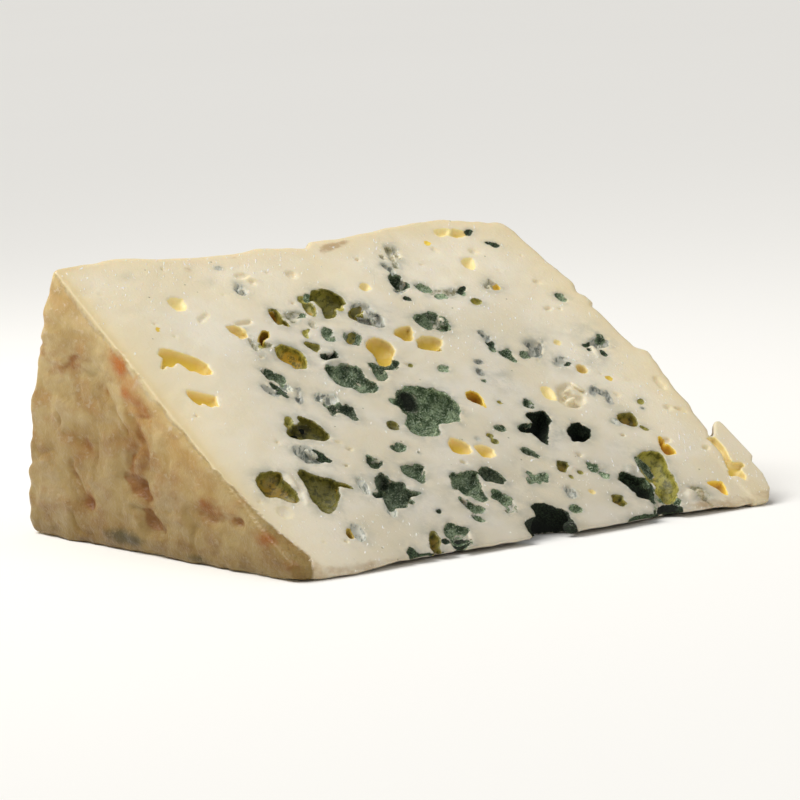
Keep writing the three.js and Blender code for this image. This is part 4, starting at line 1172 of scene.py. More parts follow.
BLOOM_PATCHES: tuple[Patch, ...] = patches(
    (3.4, 32.4, 3.0, 0.9, -25, 0.9), (0.6, 33.6, 2.0, 0.8, -30, 0.6), (19, 27.6, 1.6, 1.1, 0, 0.6),
    (13, 25.0, 1.4, 1.1, 0, 0.5), (2.8, 3.4, 3.0, 1.0, 0, 0.45), (-23.5, 8.0, 3.4, 1.6, 0, 0.4),
    (11, 18.2, 1.2, 2.2, 0, 0.5), (27, 31.2, 3.0, 1.2, 0, 0.4), (-7, 5.0, 4.0, 1.6, 0, 0.25),
    (-19, 5.0, 3.0, 1.4, 0, 0.3), (3.5, 23.2, 0.6, 2.4, 20, 0.4), (-7, 25.4, 15, 2.6, 32.5, 0.25),
    (3.4, 35.2, 2.6, 1.8, 30, 0.7), (24, 43.4, 12, 2.6, 30, 0.4), (-14, 17.0, 7, 3.0, 32.5, 0.25),
)
GREEN_PATCHES: tuple[Patch, ...] = patches(
    (11.3, 2.6, 8.0, 1.9, 0, 0.95), (-12.8, 1.0, 6.0, 1.2, 0, 0.7), (38, 1.8, 9.0, 1.4, 0, 0.4),
    (30, 7.5, 8.0, 2.0, 0, 0.2), (-28, 1.0, 6.0, 1.0, 0, 0.4), (15, 14.0, 4.0, 3.0, 0, 0.15),
)
STAINS: dict[str, tuple[Patch, ...]] = {
    "brown": BROWN_PATCHES, "orange": ORANGE_PATCHES, "bloom": BLOOM_PATCHES, "green": GREEN_PATCHES,
}
# Parts of the left flat rind made darker (+) or lighter (-), added to the mask that darkens it towards the
# base
DULL_PATCHES: tuple[Patch, ...] = patches(
    (27, 35, 16, 7.5, 10, 0.5), (-9, 21, 20, 6.5, 32.5, -0.7), (36, 10, 9, 8, 0, -0.12),
)
# Where the cut is wetter, with more painted glints, in (u, v)
SHINES: tuple[Patch, ...] = patches(
    (30, 91, 26, 5, 0, 0.9), (12, 86, 12, 7, 0, 0.6), (67.5, 79, 3.0, 7.0, 30, 1.0),
    (103, 14, 9, 13, 0, 1.0), (100, 34, 8, 8, 0, 0.6), (72, 58, 4, 4, 0, 0.7), (20, 8, 9, 7, 0, 0.8),
    (87, 66, 22, 10, 0, 0.5), (60, 90, 30, 5, 0, 0.5), (27, 62, 5, 5, 0, 0.6), (72, 14, 6, 8, 0, 0.5),
    (97, 47, 4, 4, 0, 0.7),
)
# Scraps of brown rind dragged over the cut, and its worn brown foot, in (u, v)
CUT_SCRAPS: tuple[Patch, ...] = patches(
    (12, 0.4, 12.0, 1.3, 0, 0.5), (28, 90.2, 1.4, 1.7, 0, 0.35), (90.4, 5.8, 3.0, 0.7, 20, 0.4),
    (90.3, 1.9, 2.0, 0.8, -10, 0.45), (102, 0.6, 8.0, 1.4, 0, 0.3), (101, 2.4, 2.0, 0.6, 20, 0.3),
    (29, 72, 3.0, 0.8, 10, 0.2), (61.5, 91.6, 3.4, 1.1, 12, 0.9), (65.6, 92.6, 2.6, 0.8, 20, 0.7),
    (2.5, 8.5, 2.2, 3.6, 0, 0.6), (3.5, 3.0, 2.6, 3.0, 0, 0.5), (95.5, 1.2, 6.0, 1.6, 0, 0.45),
    (108, 1.6, 4.0, 1.6, 0, 0.3), (93.5, 3.8, 1.6, 2.4, 0, 0.5), (40, 92.6, 1.8, 0.7, 20, 0.35),
    (1.0, 22.0, 1.6, 3.0, 0, 0.35), (104.0, 70.5, 2.0, 0.8, 70, 0.2),
)


@dataclass
class SurfaceMasks:
    """Masks of the wedge's finishes, one value from 0 to 1 for each point of its skin."""

    solid: WedgeSolid

    def linings(self, u: Array, v: Array, w: Array) -> dict[str, Array]:
        """Masks of the eye linings and of the haze and the shade that go with them.

        A lining is 1 on its eye's wall and fades out over its halo. Shade grows with the depth
        of a wall under the cut, over the depth of its eye, and the finishes paint the walls darker
        by it as shade. Tone and rust are those of the nearest eye. An eye inside another is a patch
        over its lining that leans in from the rim along the line of sight; where its tone is low it
        is painted shadow under the rim.

        Args:
            u: Places along the wheel's axis, mm.
            v: Places up the slope, mm.
            w: Depths under the cut, mm.

        Returns:
            One array of values for each mask.
        """
        masks = {lining.mask: np.zeros(len(u)) for lining in Lining}
        haze = patched(HAZES, u, v) * (w < 1.5)
        right, up = self.solid.notch_lean
        shade, tone, nearest = np.zeros(len(u)), np.full(len(u), 0.5), np.full(len(u), 1.0)
        rust = np.ones(len(u))
        points = np.stack([u, v, w], axis=1)
        flesh = ease(self.solid.noise.at(points, 1.7) + 0.5 * self.solid.noise.at(points, 0.85), 0.22, 0.4)
        rim = 0.7 + 0.3 * ease(w, 0.05, 0.8)
        for eye in (*EYES, *PINHOLES):
            inner = eye in INNER_EYES
            far = eye.reach + (9.0 if inner else 4.0)
            beside = (np.abs(u - eye.u) < far) & (np.abs(v - eye.v) < far)
            near = np.flatnonzero(beside & (w < eye.depth + 2.0))
            away = eye.ragged_field(u[near], v[near], w[near], self.solid.noise)
            mask = masks[eye.lining.mask]
            # Inner eye: a patch shifted along the line of sight by notch_lean; with a low tone it is
            # painted shadow
            if inner:
                leaning = eye.plan(u[near] - right * w[near], v[near] - up * w[near])
                soft = 0.2 + 0.45 * eye.half_width
                share = 1.0 - ease(leaning + 0.5 * self.solid.noise.at(points[near], 1.1), -soft, soft)
                for other in masks.values():
                    other[near] *= 1.0 - share
                wall = 1.0 - ease(away, 0.1, eye.lining.halo)
                mask[near] = np.maximum(mask[near], np.maximum(share, wall))
                tone[near] += (eye.tone - tone[near]) * share
                rust[near] += ((eye.lining is not Lining.KHAKI) - rust[near]) * share
                continue
            wall = 1.0 - ease(away, 0.1, eye.lining.halo)
            closer = away < nearest[near]
            nearest[near[closer]] = away[closer]
            tone[near[closer]] = eye.tone
            rust[near[closer]] = eye.lining is not Lining.KHAKI
            if eye.lining in (Lining.PALE, Lining.SMEAR):
                wall *= 0.4
            elif eye.lining.mouldy:
                shows_flesh = eye.lining in (Lining.MOULD, Lining.WET) and 1.0 < eye.reach < 4.5
                wall *= rim[near] * (1.0 - (0.55 if shows_flesh else 0.0) * flesh[near])
            mask[near] = np.maximum(mask[near], wall)
            # How deep the wall lies under its eye's rim; the finishes paint shade by it
            deep = ease(w[near], 0.25, max(0.9 * eye.depth, 2.2)) * (1.0 - ease(away, 0.1, 0.5))
            shade[near] = np.maximum(shade[near], deep)
            if eye.lining.mouldy:
                reach = 0.6 + 0.3 * min(eye.reach, 4.0)
                halo = 0.8 * np.exp(-((np.maximum(away, 0.0) / reach) ** 1.5))
                haze[near] = np.maximum(haze[near], halo)
        masks["haze"] = np.clip(haze, 0.0, 1.0)
        masks["shade"], masks["tone"], masks["rust"] = shade, tone, rust
        return masks

    def all(self, u: Array, v: Array, w: Array) -> dict[str, Array]:
        """Every mask of the wedge, by the name of its attribute.

        Args:
            u: Places along the wheel's axis, mm.
            v: Places up the slope, mm.
            w: Depths under the cut, mm.

        Returns:
            One array of values for each mask.
        """
        masks = self.linings(u, v, w)
        sides = self.solid.sides(u, v, w)
        behind, height = self.solid.upright(v, w)
        y = behind + THIN_EDGE_Y
        rind = self.solid.rind_field(sides)
        on_cut = ease(-sides["cut"], 1.0, 0.2)
        flake = ease(u, 107.0, 109.0) * ease(v, 27.0, 25.0)
        left = ease(sides["left"], -2.2, -1.0)
        points = np.stack([u, v, w], axis=1).astype(np.float32)
        blurred = left * ease(height, 6.0, 16.0) * (1.3 + 1.7 * self.solid.noise.at(points, 4.2))
        below_cut = ease(-sides["cut"], -0.25 * left, np.maximum(1.0 - 0.2 * left + blurred, 0.6))
        masks["rind"] = ease(rind, -1.5, -0.35) * (1.0 - 0.8 * flake * on_cut) * below_cut
        near_rind = np.minimum(rind, 0.0)
        brim = (0.2 + 0.5 * ease(u, 9.0, 3.0)) * np.exp(near_rind / 2.2)
        masks["crust"] = (np.exp(near_rind / 7.0) + brim) * (1.0 - 0.6 * flake)
        for name, stains in STAINS.items():
            masks[name] = np.clip(left * patched(stains, y, height), 0.0, 1.0)
        masks["rind"] = np.maximum(masks["rind"], masks["orange"] * ease(-sides["cut"], -0.3, 0.5))
        lapped = ease(u - along(CORNER_RIND, v), 1.0, -0.8) * ease(w, 4.0, 2.0)
        masks["rind"] = np.maximum(masks["rind"], lapped)
        masks["scrap"] = np.clip(patched(CUT_SCRAPS, u, v) * ease(w, 2.5, 1.0), 0.0, 1.0)
        masks["shine"] = np.clip(patched(SHINES, u, v) * ease(w, 1.5, 0.5), 0.0, 1.0)
        masks["wild"] = 1.0 - left
        # Painted shade: the paste is dimmed in the middle of the cut and towards the thin edge
        heart = ease(u, 2.0, 32.0) * ease(u, 104.0, 76.0) * ease(v, 84.0, 58.0)
        masks["heart"] = 0.62 * heart + 0.38 * ease(v, 48.0, 2.0)
        masks["edge"] = np.exp(-np.maximum(-sides["cut"], 0.0) / 5.0)
        # Darker towards the floor: painted shade, with grey-green on the rind and the brown foot on the cut
        masks["low"] = np.exp(-np.maximum(height, 0.0) / 9.5)
        dull = left * patched(DULL_PATCHES, y, height)
        # Painted shade: darker towards the base, and in the patches above
        masks["sunk"] = np.clip(1.0 - ease(height, 14.0, 46.0) + dull, 0.0, 1.0)
        # Relief of the rind; the finish paints its tops lighter and its hollows browner, as light and shade
        relief = self.solid.lumps(points) + left * self.solid.left_relief(behind, height)
        masks["relief"] = np.clip(0.5 + 0.6 * relief, 0.0, 1.0)
        return masks


class NodeBench:
    """Places and links the nodes of one tree."""

    def __init__(self, tree: bpy.types.NodeTree) -> None:
        """Starts on a tree."""
        self.tree = tree
        self.count = 0

    def node(self, kind: str, feeds: dict | None = None, **settings: object) -> bpy.types.Node:
        """Adds a node.

        Args:
            kind: Node type, without its "ShaderNode" prefix.
            feeds: Values or sockets for its inputs, by name or number.
            settings: Its other properties.

        Returns:
            The node.
        """
        made = self.tree.nodes.new(kind if kind.startswith("Node") else f"ShaderNode{kind}")
        made.location = (220 * (self.count % 12), -220 * (self.count // 12))
        self.count += 1
        for name, value in settings.items():
            setattr(made, name, value)
        for key, value in (feeds or {}).items():
            self.feed(made.inputs[key], value)
        return made

    def feed(self, socket: bpy.types.NodeSocket, value: object) -> None:
        """Links a socket to an input, or sets the input's own value.

        Args:
            socket: The input.
            value: A socket, a number, a vector or a colour of three parts.
        """
        if isinstance(value, bpy.types.NodeSocket):
            self.tree.links.new(value, socket)
        elif isinstance(value, tuple) and len(value) == 3 and socket.type == "RGBA":
            socket.default_value = (*value, 1.0)
        else:
            socket.default_value = value

    def sum(self, operation: str, a: object, b: object = 0.0, clamp: bool = False) -> Socket:
        """A Math node's result."""
        return self.node("Math", {0: a, 1: b}, operation=operation, use_clamp=clamp).outputs[0]

    def step(self, value: object, low: float, high: float, top: float = 1.0) -> Socket:
        """A smooth step from 0 at low to top at high."""
        feeds = {"Value": value, "From Min": low, "From Max": high, "To Max": top}
        return self.node("MapRange", feeds, interpolation_type="SMOOTHSTEP").outputs[0]

    def mix(self, share: object, first: object, second: object, blend: str = "MIX") -> Socket:
        """Two colours mixed.

        Args:
            share: How much of the second, from 0 to 1.
            first: The first colour.
            second: The second colour.
            blend: Name of the blend mode.

        Returns:
            The mixed colour.
        """
        made = self.node("Mix", data_type="RGBA", blend_type=blend)
        for number, value in ((0, share), (6, first), (7, second)):
            self.feed(made.inputs[number], value)
        return made.outputs[2]

    def noise(self, where: object, size_mm: float, detail: float = 2.0, rough: float = 0.5) -> Socket:
        """Noise with features of a size in millimetres, from 0 to 1 about 0.5."""
        feeds = {"Vector": where, "Scale": 1000.0 / size_mm, "Detail": detail, "Roughness": rough}
        return self.node("TexNoise", feeds).outputs["Fac"]

    def cells(self, where: object, size_mm: float) -> Socket:
        """Distance to the nearest of many scattered points, in cell sizes."""
        feeds = {"Vector": where, "Scale": 1000.0 / size_mm}
        return self.node("TexVoronoi", feeds).outputs["Distance"]

    def drawn(self, where: object, stretch: float) -> Socket:
        """Places squeezed along a line up the cut and to the right, where a pattern is drawn out.

        Args:
            where: The places.
            stretch: How many times as long the pattern gets.

        Returns:
            The squeezed places.
        """
        sides = ((0.50, 0.733, 0.467), (0.87, -0.42, -0.27), (0.0, -0.537, 0.843))
        dots = [self.node("VectorMath", {0: where, 1: side}, operation="DOT_PRODUCT") for side in sides]
        reach = [dot.outputs["Value"] for dot in dots]
        reach[0] = self.sum("MULTIPLY", reach[0], 1.0 / stretch)
        return self.node("CombineXYZ", dict(enumerate(reach))).outputs[0]

    def ragged(self, mask: object, grain: object, reach: float, low: float, high: float) -> Socket:
        """A soft mask cut to an edge that a grain of noise frays."""
        shift = self.sum("MULTIPLY", self.sum("SUBTRACT", grain, 0.5), reach)
        return self.step(self.sum("ADD", mask, shift), low, high)


def new_group(
    name: str, takes: dict[str, str], gives: dict[str, str]
) -> tuple[bpy.types.NodeTree, NodeBench]:
    """Makes a shader node group.

    Args:
        name: Name of the group.
        takes: Names and kinds (Float, Vector or Color) of its inputs.
        gives: Names and kinds of its outputs.

    Returns:
        The group and a bench on it.
    """
    tree = bpy.data.node_groups.new(name, "ShaderNodeTree")
    for label, kind in takes.items():
        tree.interface.new_socket(label, in_out="INPUT", socket_type=f"NodeSocket{kind}")
    for label, kind in gives.items():
        tree.interface.new_socket(label, in_out="OUTPUT", socket_type=f"NodeSocket{kind}")
    return tree, NodeBench(tree)


SURFACE = {"Color": "Color", "Roughness": "Float", "Height": "Float"}


def screen(red: int, green: int, blue: int) -> Colour:
    """The scene's colour for red, green and blue as a screen shows them, 0 to 255."""
    shares = (value / 255.0 for value in (red, green, blue))
    return tuple(c / 12.92 if c <= 0.04045 else ((c + 0.055) / 1.055) ** 2.4 for c in shares)


@dataclass(frozen=True)
class PasteFinish:
    """The cut paste: ivory, moist, yellower near the rind, grey where mould shows through, with painted
    glints and painted shade.
    """

    MASKS: ClassVar[tuple[str, ...]] = ("Crust", "Haze", "Scrap", "Low", "Shine", "Heart")

    ivory: Colour = screen(238, 230, 210)
    cream: Colour = screen(233, 222, 194)
    crust: Colour = screen(232, 214, 170)
    rim: Colour = screen(206, 186, 140)
    haze: Colour = screen(150, 156, 146)
    speck: Colour = screen(120, 120, 84)
    scrap: Colour = screen(186, 156, 114)
    # Painted highlight: colour of the glint streaks
    glint: Colour = screen(255, 253, 247)
    foot: Colour = screen(176, 156, 120)
    # Painted shade tint for the dimmed middle and thin edge
    heart_tint: Colour = (0.8, 0.81, 0.84)

    def group(self) -> bpy.types.NodeTree:
        """The finish as a node group."""
        takes = {"Place": "Vector"} | dict.fromkeys(self.MASKS, "Float")
        tree, bench = new_group("Paste", takes, SURFACE)
        given = bench.node("NodeGroupInput").outputs
        where = given["Place"]
        broad, cloud = bench.noise(where, 14.0, 3.0), bench.noise(where, 2.6, 3.0, 0.6)
        grain = bench.noise(where, 0.55, 2.0, 0.6)
        colour = bench.mix(bench.step(broad, 0.36, 0.64), self.ivory, self.cream)
        colour = bench.mix(bench.step(cloud, 0.45, 0.75, 0.35), colour, self.cream)
        colour = bench.mix(bench.sum("MULTIPLY", given["Crust"], 0.75), colour, self.crust)
        colour = bench.mix(bench.step(given["Crust"], 0.9, 1.6, 0.7), colour, self.rim)
        veil = bench.sum("MULTIPLY", given["Haze"], bench.step(cloud, 0.25, 0.65))
        colour = bench.mix(bench.sum("MULTIPLY", veil, 0.85, clamp=True), colour, self.haze)
        scrap = bench.ragged(given["Scrap"], cloud, 1.2, 0.2, 0.8)
        colour = bench.mix(bench.sum("MULTIPLY", scrap, 0.75), colour, self.scrap)
        dots = bench.step(bench.cells(where, 5.2), 0.05, 0.028)
        colour = bench.mix(bench.sum("MULTIPLY", dots, 0.6), colour, self.speck)
        # Brown foot near the floor, partly painted shade
        colour = bench.mix(bench.sum("MULTIPLY", given["Low"], 0.16), colour, self.foot)
        # Painted shade: dims the middle of the cut and the thin edge
        colour = bench.mix(given["Heart"], colour, self.heart_tint, "MULTIPLY")
        # Painted highlight: white glint streaks, which are also smoother and a little raised
        seeds = bench.step(bench.noise(bench.drawn(where, 2.6), 0.5, 1.0), 0.64, 0.72)
        wetter = bench.sum("MULTIPLY", given["Shine"], 0.26)
        few = bench.step(bench.sum("ADD", bench.noise(where, 2.4, 2.0), wetter), 0.55, 0.68)
        drop = bench.sum("MULTIPLY", seeds, few)
        colour = bench.mix(bench.sum("MULTIPLY", drop, 0.9), colour, self.glint)
        rough = bench.sum("ADD", bench.step(grain, 0.3, 0.7, 0.2), 0.3)
        rough = bench.sum("SUBTRACT", rough, bench.sum("MULTIPLY", drop, 0.3))
        height = bench.sum("ADD", bench.sum("MULTIPLY", drop, 0.14), bench.sum("MULTIPLY", grain, 0.12))
        height = bench.sum("ADD", height, bench.sum("MULTIPLY", cloud, 0.22))
        bench.node("NodeGroupOutput", {"Color": colour, "Roughness": rough, "Height": height})
        return tree


@dataclass(frozen=True)
class RindFinish:
    """The rind: tan and wrinkled, with brown hollows, orange spots, white bloom and grey-green; lobe tops
    are painted lighter and hollows browner as light and shade, and the base darker as shade.
    """

    MASKS: ClassVar[tuple[str, ...]] = (
        "Brown", "Orange", "Bloom", "Green", "Wild", "Edge", "Low", "Sunk", "Relief",
    )

    tan: Colour = screen(196, 164, 98)
    straw: Colour = screen(222, 198, 142)
    brown: Colour = screen(164, 98, 10)
    pink: Colour = screen(200, 146, 78)
    orange: Colour = screen(200, 110, 0)
    bloom: Colour = screen(224, 204, 172)
    green: Colour = screen(94, 92, 42)
    sunk: Colour = screen(126, 94, 26)
    ochre: Colour = screen(190, 140, 56)
    cream: Colour = screen(224, 200, 140)
    mottle_tint: Colour = (0.72, 0.66, 0.54)
    sunk_tint: Colour = (0.79, 0.765, 0.7)
    foot_tint: Colour = (0.6, 0.57, 0.42)

    def group(self) -> bpy.types.NodeTree:
        """The finish as a node group."""
        takes = {"Place": "Vector"} | dict.fromkeys(self.MASKS, "Float")
        tree, bench = new_group("Rind", takes, SURFACE)
        given = bench.node("NodeGroupInput").outputs
        squeeze = {0: given["Place"], 1: (1.0, 0.6, 1.0)}
        where = bench.node("VectorMath", squeeze, operation="MULTIPLY").outputs[0]
        broad, blotch = bench.noise(where, 14.0, 3.0, 0.55), bench.noise(where, 4.4, 3.0, 0.6)
        fine, dust = bench.noise(where, 1.3, 3.0, 0.65), bench.noise(where, 0.4, 2.0, 0.6)
        away = bench.node("VectorMath", {0: where, 1: (0.37, 0.21, 0.11)}, operation="ADD").outputs[0]
        other = bench.noise(away, 9.0, 3.0, 0.55)
        colour = bench.mix(bench.step(broad, 0.35, 0.65), self.tan, self.straw)
        # Painted highlight: lobe tops of the relief go lighter
        colour = bench.mix(bench.step(given["Relief"], 0.45, 0.85, 0.8), colour, self.straw)
        colour = bench.mix(bench.step(given["Relief"], 0.75, 1.0, 0.4), colour, self.bloom)
        colour = bench.mix(bench.step(blotch, 0.45, 0.7, 0.6), colour, self.pink)
        rim = bench.mix(bench.step(other, 0.42, 0.6), self.straw, self.ochre)
        colour = bench.mix(bench.sum("MULTIPLY", given["Edge"], 0.8), colour, rim)
        fresh = bench.sum(
            "MULTIPLY", bench.step(given["Edge"], 0.45, 0.9), bench.step(blotch, 0.3, 0.6, 0.8)
        )
        colour = bench.mix(fresh, colour, self.cream)
        wild_brown = bench.sum("MULTIPLY", given["Wild"], bench.step(other, 0.54, 0.8, 0.6))
        stain = bench.sum("MAXIMUM", given["Brown"], wild_brown)
        # Painted shade with brown stain: hollows of the relief go browner
        hollow = bench.step(given["Relief"], 0.46, 0.1)
        crevice = bench.sum("MULTIPLY", hollow, bench.step(other, 0.36, 0.6, 0.8))
        stain = bench.sum("ADD", stain, crevice)
        frayed = bench.ragged(stain, fine, 0.7, 0.12, 0.95)
        colour = bench.mix(bench.sum("MULTIPLY", frayed, 0.85), colour, self.brown)
        glow = bench.ragged(given["Orange"], fine, 0.6, 0.1, 1.1)
        colour = bench.mix(bench.sum("MULTIPLY", glow, 0.95), colour, self.orange)
        wild_bloom = bench.sum("MULTIPLY", given["Wild"], bench.step(other, 0.40, 0.28, 0.5))
        white = bench.ragged(bench.sum("MAXIMUM", given["Bloom"], wild_bloom), fine, 0.9, 0.25, 0.85)
        colour = bench.mix(bench.sum("MULTIPLY", white, 0.75), colour, self.bloom)
        mossy = bench.sum("MAXIMUM", given["Green"], bench.sum("MULTIPLY", given["Low"], 0.35))
        colour = bench.mix(bench.ragged(mossy, blotch, 1.0, 0.2, 0.9), colour, self.green)
        darker = bench.mix(1.0, colour, self.mottle_tint, "MULTIPLY")
        colour = bench.mix(bench.step(bench.noise(away, 3.4, 2.0, 0.5), 0.4, 0.7, 0.6), colour, darker)
        fleck = bench.step(fine, 0.54, 0.68, 0.75)
        fleck = bench.sum("MULTIPLY", fleck, bench.step(blotch, 0.38, 0.58))
        fleck = bench.sum("SUBTRACT", fleck, bench.sum("MAXIMUM", given["Orange"], frayed), clamp=True)
        colour = bench.mix(fleck, colour, self.bloom)
        # Painted shade: browner and darker towards the base
        colour = bench.mix(bench.sum("MULTIPLY", given["Sunk"], 0.34), colour, self.sunk)
        colour = bench.mix(given["Sunk"], colour, self.sunk_tint, "MULTIPLY")
        # Painted shade: darker near the floor
        colour = bench.mix(given["Low"], colour, self.foot_tint, "MULTIPLY")
        rough = bench.sum("ADD", bench.step(fine, 0.3, 0.7, 0.22), 0.34)
        height = bench.sum("ADD", bench.sum("MULTIPLY", fine, 0.75), bench.sum("MULTIPLY", dust, 0.12))
        height = bench.sum("ADD", height, bench.sum("MULTIPLY", blotch, 0.9))
        bench.node("NodeGroupOutput", {"Color": colour, "Roughness": rough, "Height": height})
        return tree


@dataclass(frozen=True)
class LiningFinish:
    """The linings of the eyes: yellow skin, amber, olive, grey-green mould, black and wet grey, darkened
    with depth by painted shade.
    """

    MASKS: ClassVar[tuple[str, ...]] = (
        "Bare", "Amber", "Olive", "Mould", "Dark", "Wet", "Shade", "Tone", "Rust",
    )

    bare: Colour = screen(226, 194, 78)
    bare_pale: Colour = screen(236, 216, 152)
    amber: Colour = screen(164, 104, 14)
    olive: Colour = screen(196, 158, 44)
    olive_grey: Colour = screen(156, 148, 66)
    olive_dark: Colour = screen(76, 78, 26)
    mould: Colour = screen(140, 156, 124)
    mould_pale: Colour = screen(192, 202, 176)
    mould_dark: Colour = screen(62, 80, 54)
    # Near-black lining: dark mould and painted shade of deep eyes
    dark: Colour = screen(26, 34, 20)
    wet: Colour = screen(198, 198, 184)
    wet_dark: Colour = screen(92, 102, 94)
    # Near-black painted shade for the deepest walls of dark eyes
    pit: Colour = (0.004, 0.006, 0.003)

    def group(self) -> bpy.types.NodeTree:
        """The finish as a node group: its Share says where a lining covers the paste."""
        takes = {"Place": "Vector", "Under": "Color"} | dict.fromkeys(self.MASKS, "Float")
        tree, bench = new_group("Eye lining", takes, SURFACE | {"Share": "Float"})
        given = bench.node("NodeGroupInput").outputs
        where = given["Place"]
        velvet, fleck = bench.noise(where, 0.38, 2.0, 0.7), bench.noise(where, 1.1, 3.0, 0.65)
        patch = bench.noise(where, 2.4, 2.0, 0.5)
        away = bench.node("VectorMath", {0: where, 1: (0.31, 0.17, 0.23)}, operation="ADD").outputs[0]
        streak = bench.noise(bench.drawn(where, 3.0), 0.9, 3.0, 0.6)
        colour = given["Under"]
        # Painted shade: bare walls go darker and yellower with depth under the rim
        deep = bench.step(given["Shade"], 0.0, 0.8)
        skin = bench.mix(deep, self.bare_pale, self.bare)
        bare = bench.ragged(given["Bare"], fleck, 0.25, 0.25, 0.75)
        colour = bench.mix(bare, colour, skin)
        wet_tone = bench.mix(bench.step(streak, 0.38, 0.56), self.wet_dark, self.wet)
        wet = bench.ragged(given["Wet"], streak, 1.3, 0.3, 0.7)
        colour = bench.mix(bench.sum("MULTIPLY", wet, 0.85), colour, wet_tone)
        deeper = bench.sum("MULTIPLY", given["Shade"], 0.3)
        rusty = bench.sum("ADD", bench.sum("MULTIPLY", patch, 0.9), deeper)
        spared = bench.sum("SUBTRACT", 0.35, bench.sum("MULTIPLY", given["Rust"], 0.35))
        rusty = bench.sum("SUBTRACT", rusty, spared)
        olive_tone = bench.mix(bench.step(rusty, 0.48, 0.82), self.olive_grey, self.olive)
        olive_tone = bench.mix(bench.step(fleck, 0.46, 0.62, 0.7), olive_tone, self.olive_dark)
        olive = bench.ragged(given["Olive"], fleck, 0.6, 0.3, 0.6)
        colour = bench.mix(olive, colour, olive_tone)
        amber = bench.ragged(given["Amber"], fleck, 0.4, 0.3, 0.7)
        # Painted shade: amber walls go darker with depth under the rim
        amber_tone = bench.mix(bench.step(given["Shade"], 0.0, 0.9), self.bare, self.amber)
        colour = bench.mix(amber, colour, amber_tone)
        tufts = bench.noise(away, 2.2, 3.0, 0.6)
        tuft = bench.mix(bench.step(tufts, 0.36, 0.64), self.mould_dark, self.mould)
        tuft = bench.mix(bench.step(velvet, 0.53, 0.68, 0.75), tuft, self.mould_pale)
        tuft = bench.mix(bench.step(velvet, 0.48, 0.34, 0.85), tuft, self.mould_dark)
        mould = bench.ragged(given["Mould"], fleck, 1.1, 0.36, 0.66)
        colour = bench.mix(mould, colour, tuft)
        black = bench.ragged(given["Dark"], fleck, 0.9, 0.36, 0.66)
        black_tone = bench.mix(bench.step(velvet, 0.4, 0.7), self.dark, self.mould_dark)
        colour = bench.mix(black, colour, black_tone)
        # Painted shade: dark linings go near-black with depth under the rim
        pit = bench.sum("MULTIPLY", black, bench.step(given["Shade"], 0.3, 1.0, 0.9))
        colour = bench.mix(pit, colour, self.pit)
        furry = bench.sum("MAXIMUM", mould, black)
        share = bench.sum("MAXIMUM", bench.sum("MAXIMUM", furry, olive), bench.sum("MAXIMUM", bare, amber))
        # Tone lightens or darkens each lining; for inner eyes the dark tones are painted shadow
        light = bench.sum("ADD", bench.sum("MULTIPLY", given["Tone"], 1.3), 0.35)
        colour = bench.mix(bench.sum("MAXIMUM", share, wet), colour, light, "MULTIPLY")
        rough = bench.sum("ADD", bench.sum("MULTIPLY", furry, 0.45), 0.4)
        rough = bench.sum("SUBTRACT", rough, bench.sum("MULTIPLY", wet, 0.2))
        height = bench.sum("MULTIPLY", bench.sum("ADD", velvet, bench.sum("MULTIPLY", fleck, 0.8)), 0.35)
        height = bench.sum(
            "MULTIPLY", height, bench.sum("MAXIMUM", furry, bench.sum("MULTIPLY", olive, 0.6))
        )
        feeds = {"Color": colour, "Roughness": rough, "Height": height, "Share": share}
        bench.node("NodeGroupOutput", feeds)
        return tree


@dataclass(frozen=True)
class CheeseMaterial:
    """The wedge's material: paste, rind and eye linings, laid by the masks on its surface."""

    paste: PasteFinish = PasteFinish()
    rind: RindFinish = RindFinish()
    lining: LiningFinish = LiningFinish()
    relief_m: float = 0.0006

    def build(self) -> bpy.types.Material:
        """Makes the material."""
        material = bpy.data.materials.new("Blue cheese")
        material.use_nodes = True
        material.node_tree.nodes.clear()
        bench = NodeBench(material.node_tree)
        place = bench.node("TexCoord").outputs["Object"]

        def mask(name: str) -> Socket:
            """A mask of the surface, read from its attribute."""
            return bench.node("Attribute", attribute_name=name).outputs["Fac"]

        def outputs(
            finish: PasteFinish | RindFinish | LiningFinish, **more: Socket
        ) -> bpy.types.NodeOutputs:
            """What a finish's group puts out, fed with the masks that bear its inputs' names."""
            feeds = {"Place": place} | {name: mask(name.lower()) for name in finish.MASKS} | more
            return bench.node("Group", feeds, node_tree=finish.group()).outputs

        paste, rind = outputs(self.paste), outputs(self.rind)
        lining = outputs(self.lining, Under=paste["Color"])
        fray = bench.noise(place, 1.6, 3.0, 0.6)
        cover = bench.ragged(mask("rind"), fray, 0.7, 0.25, 0.8)
        colour = bench.mix(cover, lining["Color"], rind["Color"])
        rough = bench.node("Mix", {0: cover, 2: paste["Roughness"], 3: rind["Roughness"]}).outputs[0]
        lined_rough = bench.node("Mix", {0: lining["Share"], 2: rough, 3: lining["Roughness"]}).outputs[0]
        height = bench.node("Mix", {0: cover, 2: paste["Height"], 3: rind["Height"]}).outputs[0]
        height = bench.sum("ADD", height, lining["Height"])
        bump = bench.node("Bump", {"Height": height, "Distance": self.relief_m, "Strength": 0.9})
        feeds = {
            "Base Color": colour,
            "Roughness": lined_rough,
            "Normal": bump.outputs[0],
            "IOR": 1.42,
            "Specular IOR Level": 0.5,
            "Subsurface Weight": 0.35,
            "Subsurface Radius": (1.0, 0.72, 0.42),
            "Subsurface Scale": 0.0022,
        }
        shader = bench.node("BsdfPrincipled", feeds)
        bench.node("OutputMaterial", {"Surface": shader.outputs[0]})
        return material


def placed(name: str, data: bpy.types.ID) -> bpy.types.Object:
    """A new object in the scene."""
    made = bpy.data.objects.new(name, data)
    bpy.context.scene.collection.objects.link(made)
    return made


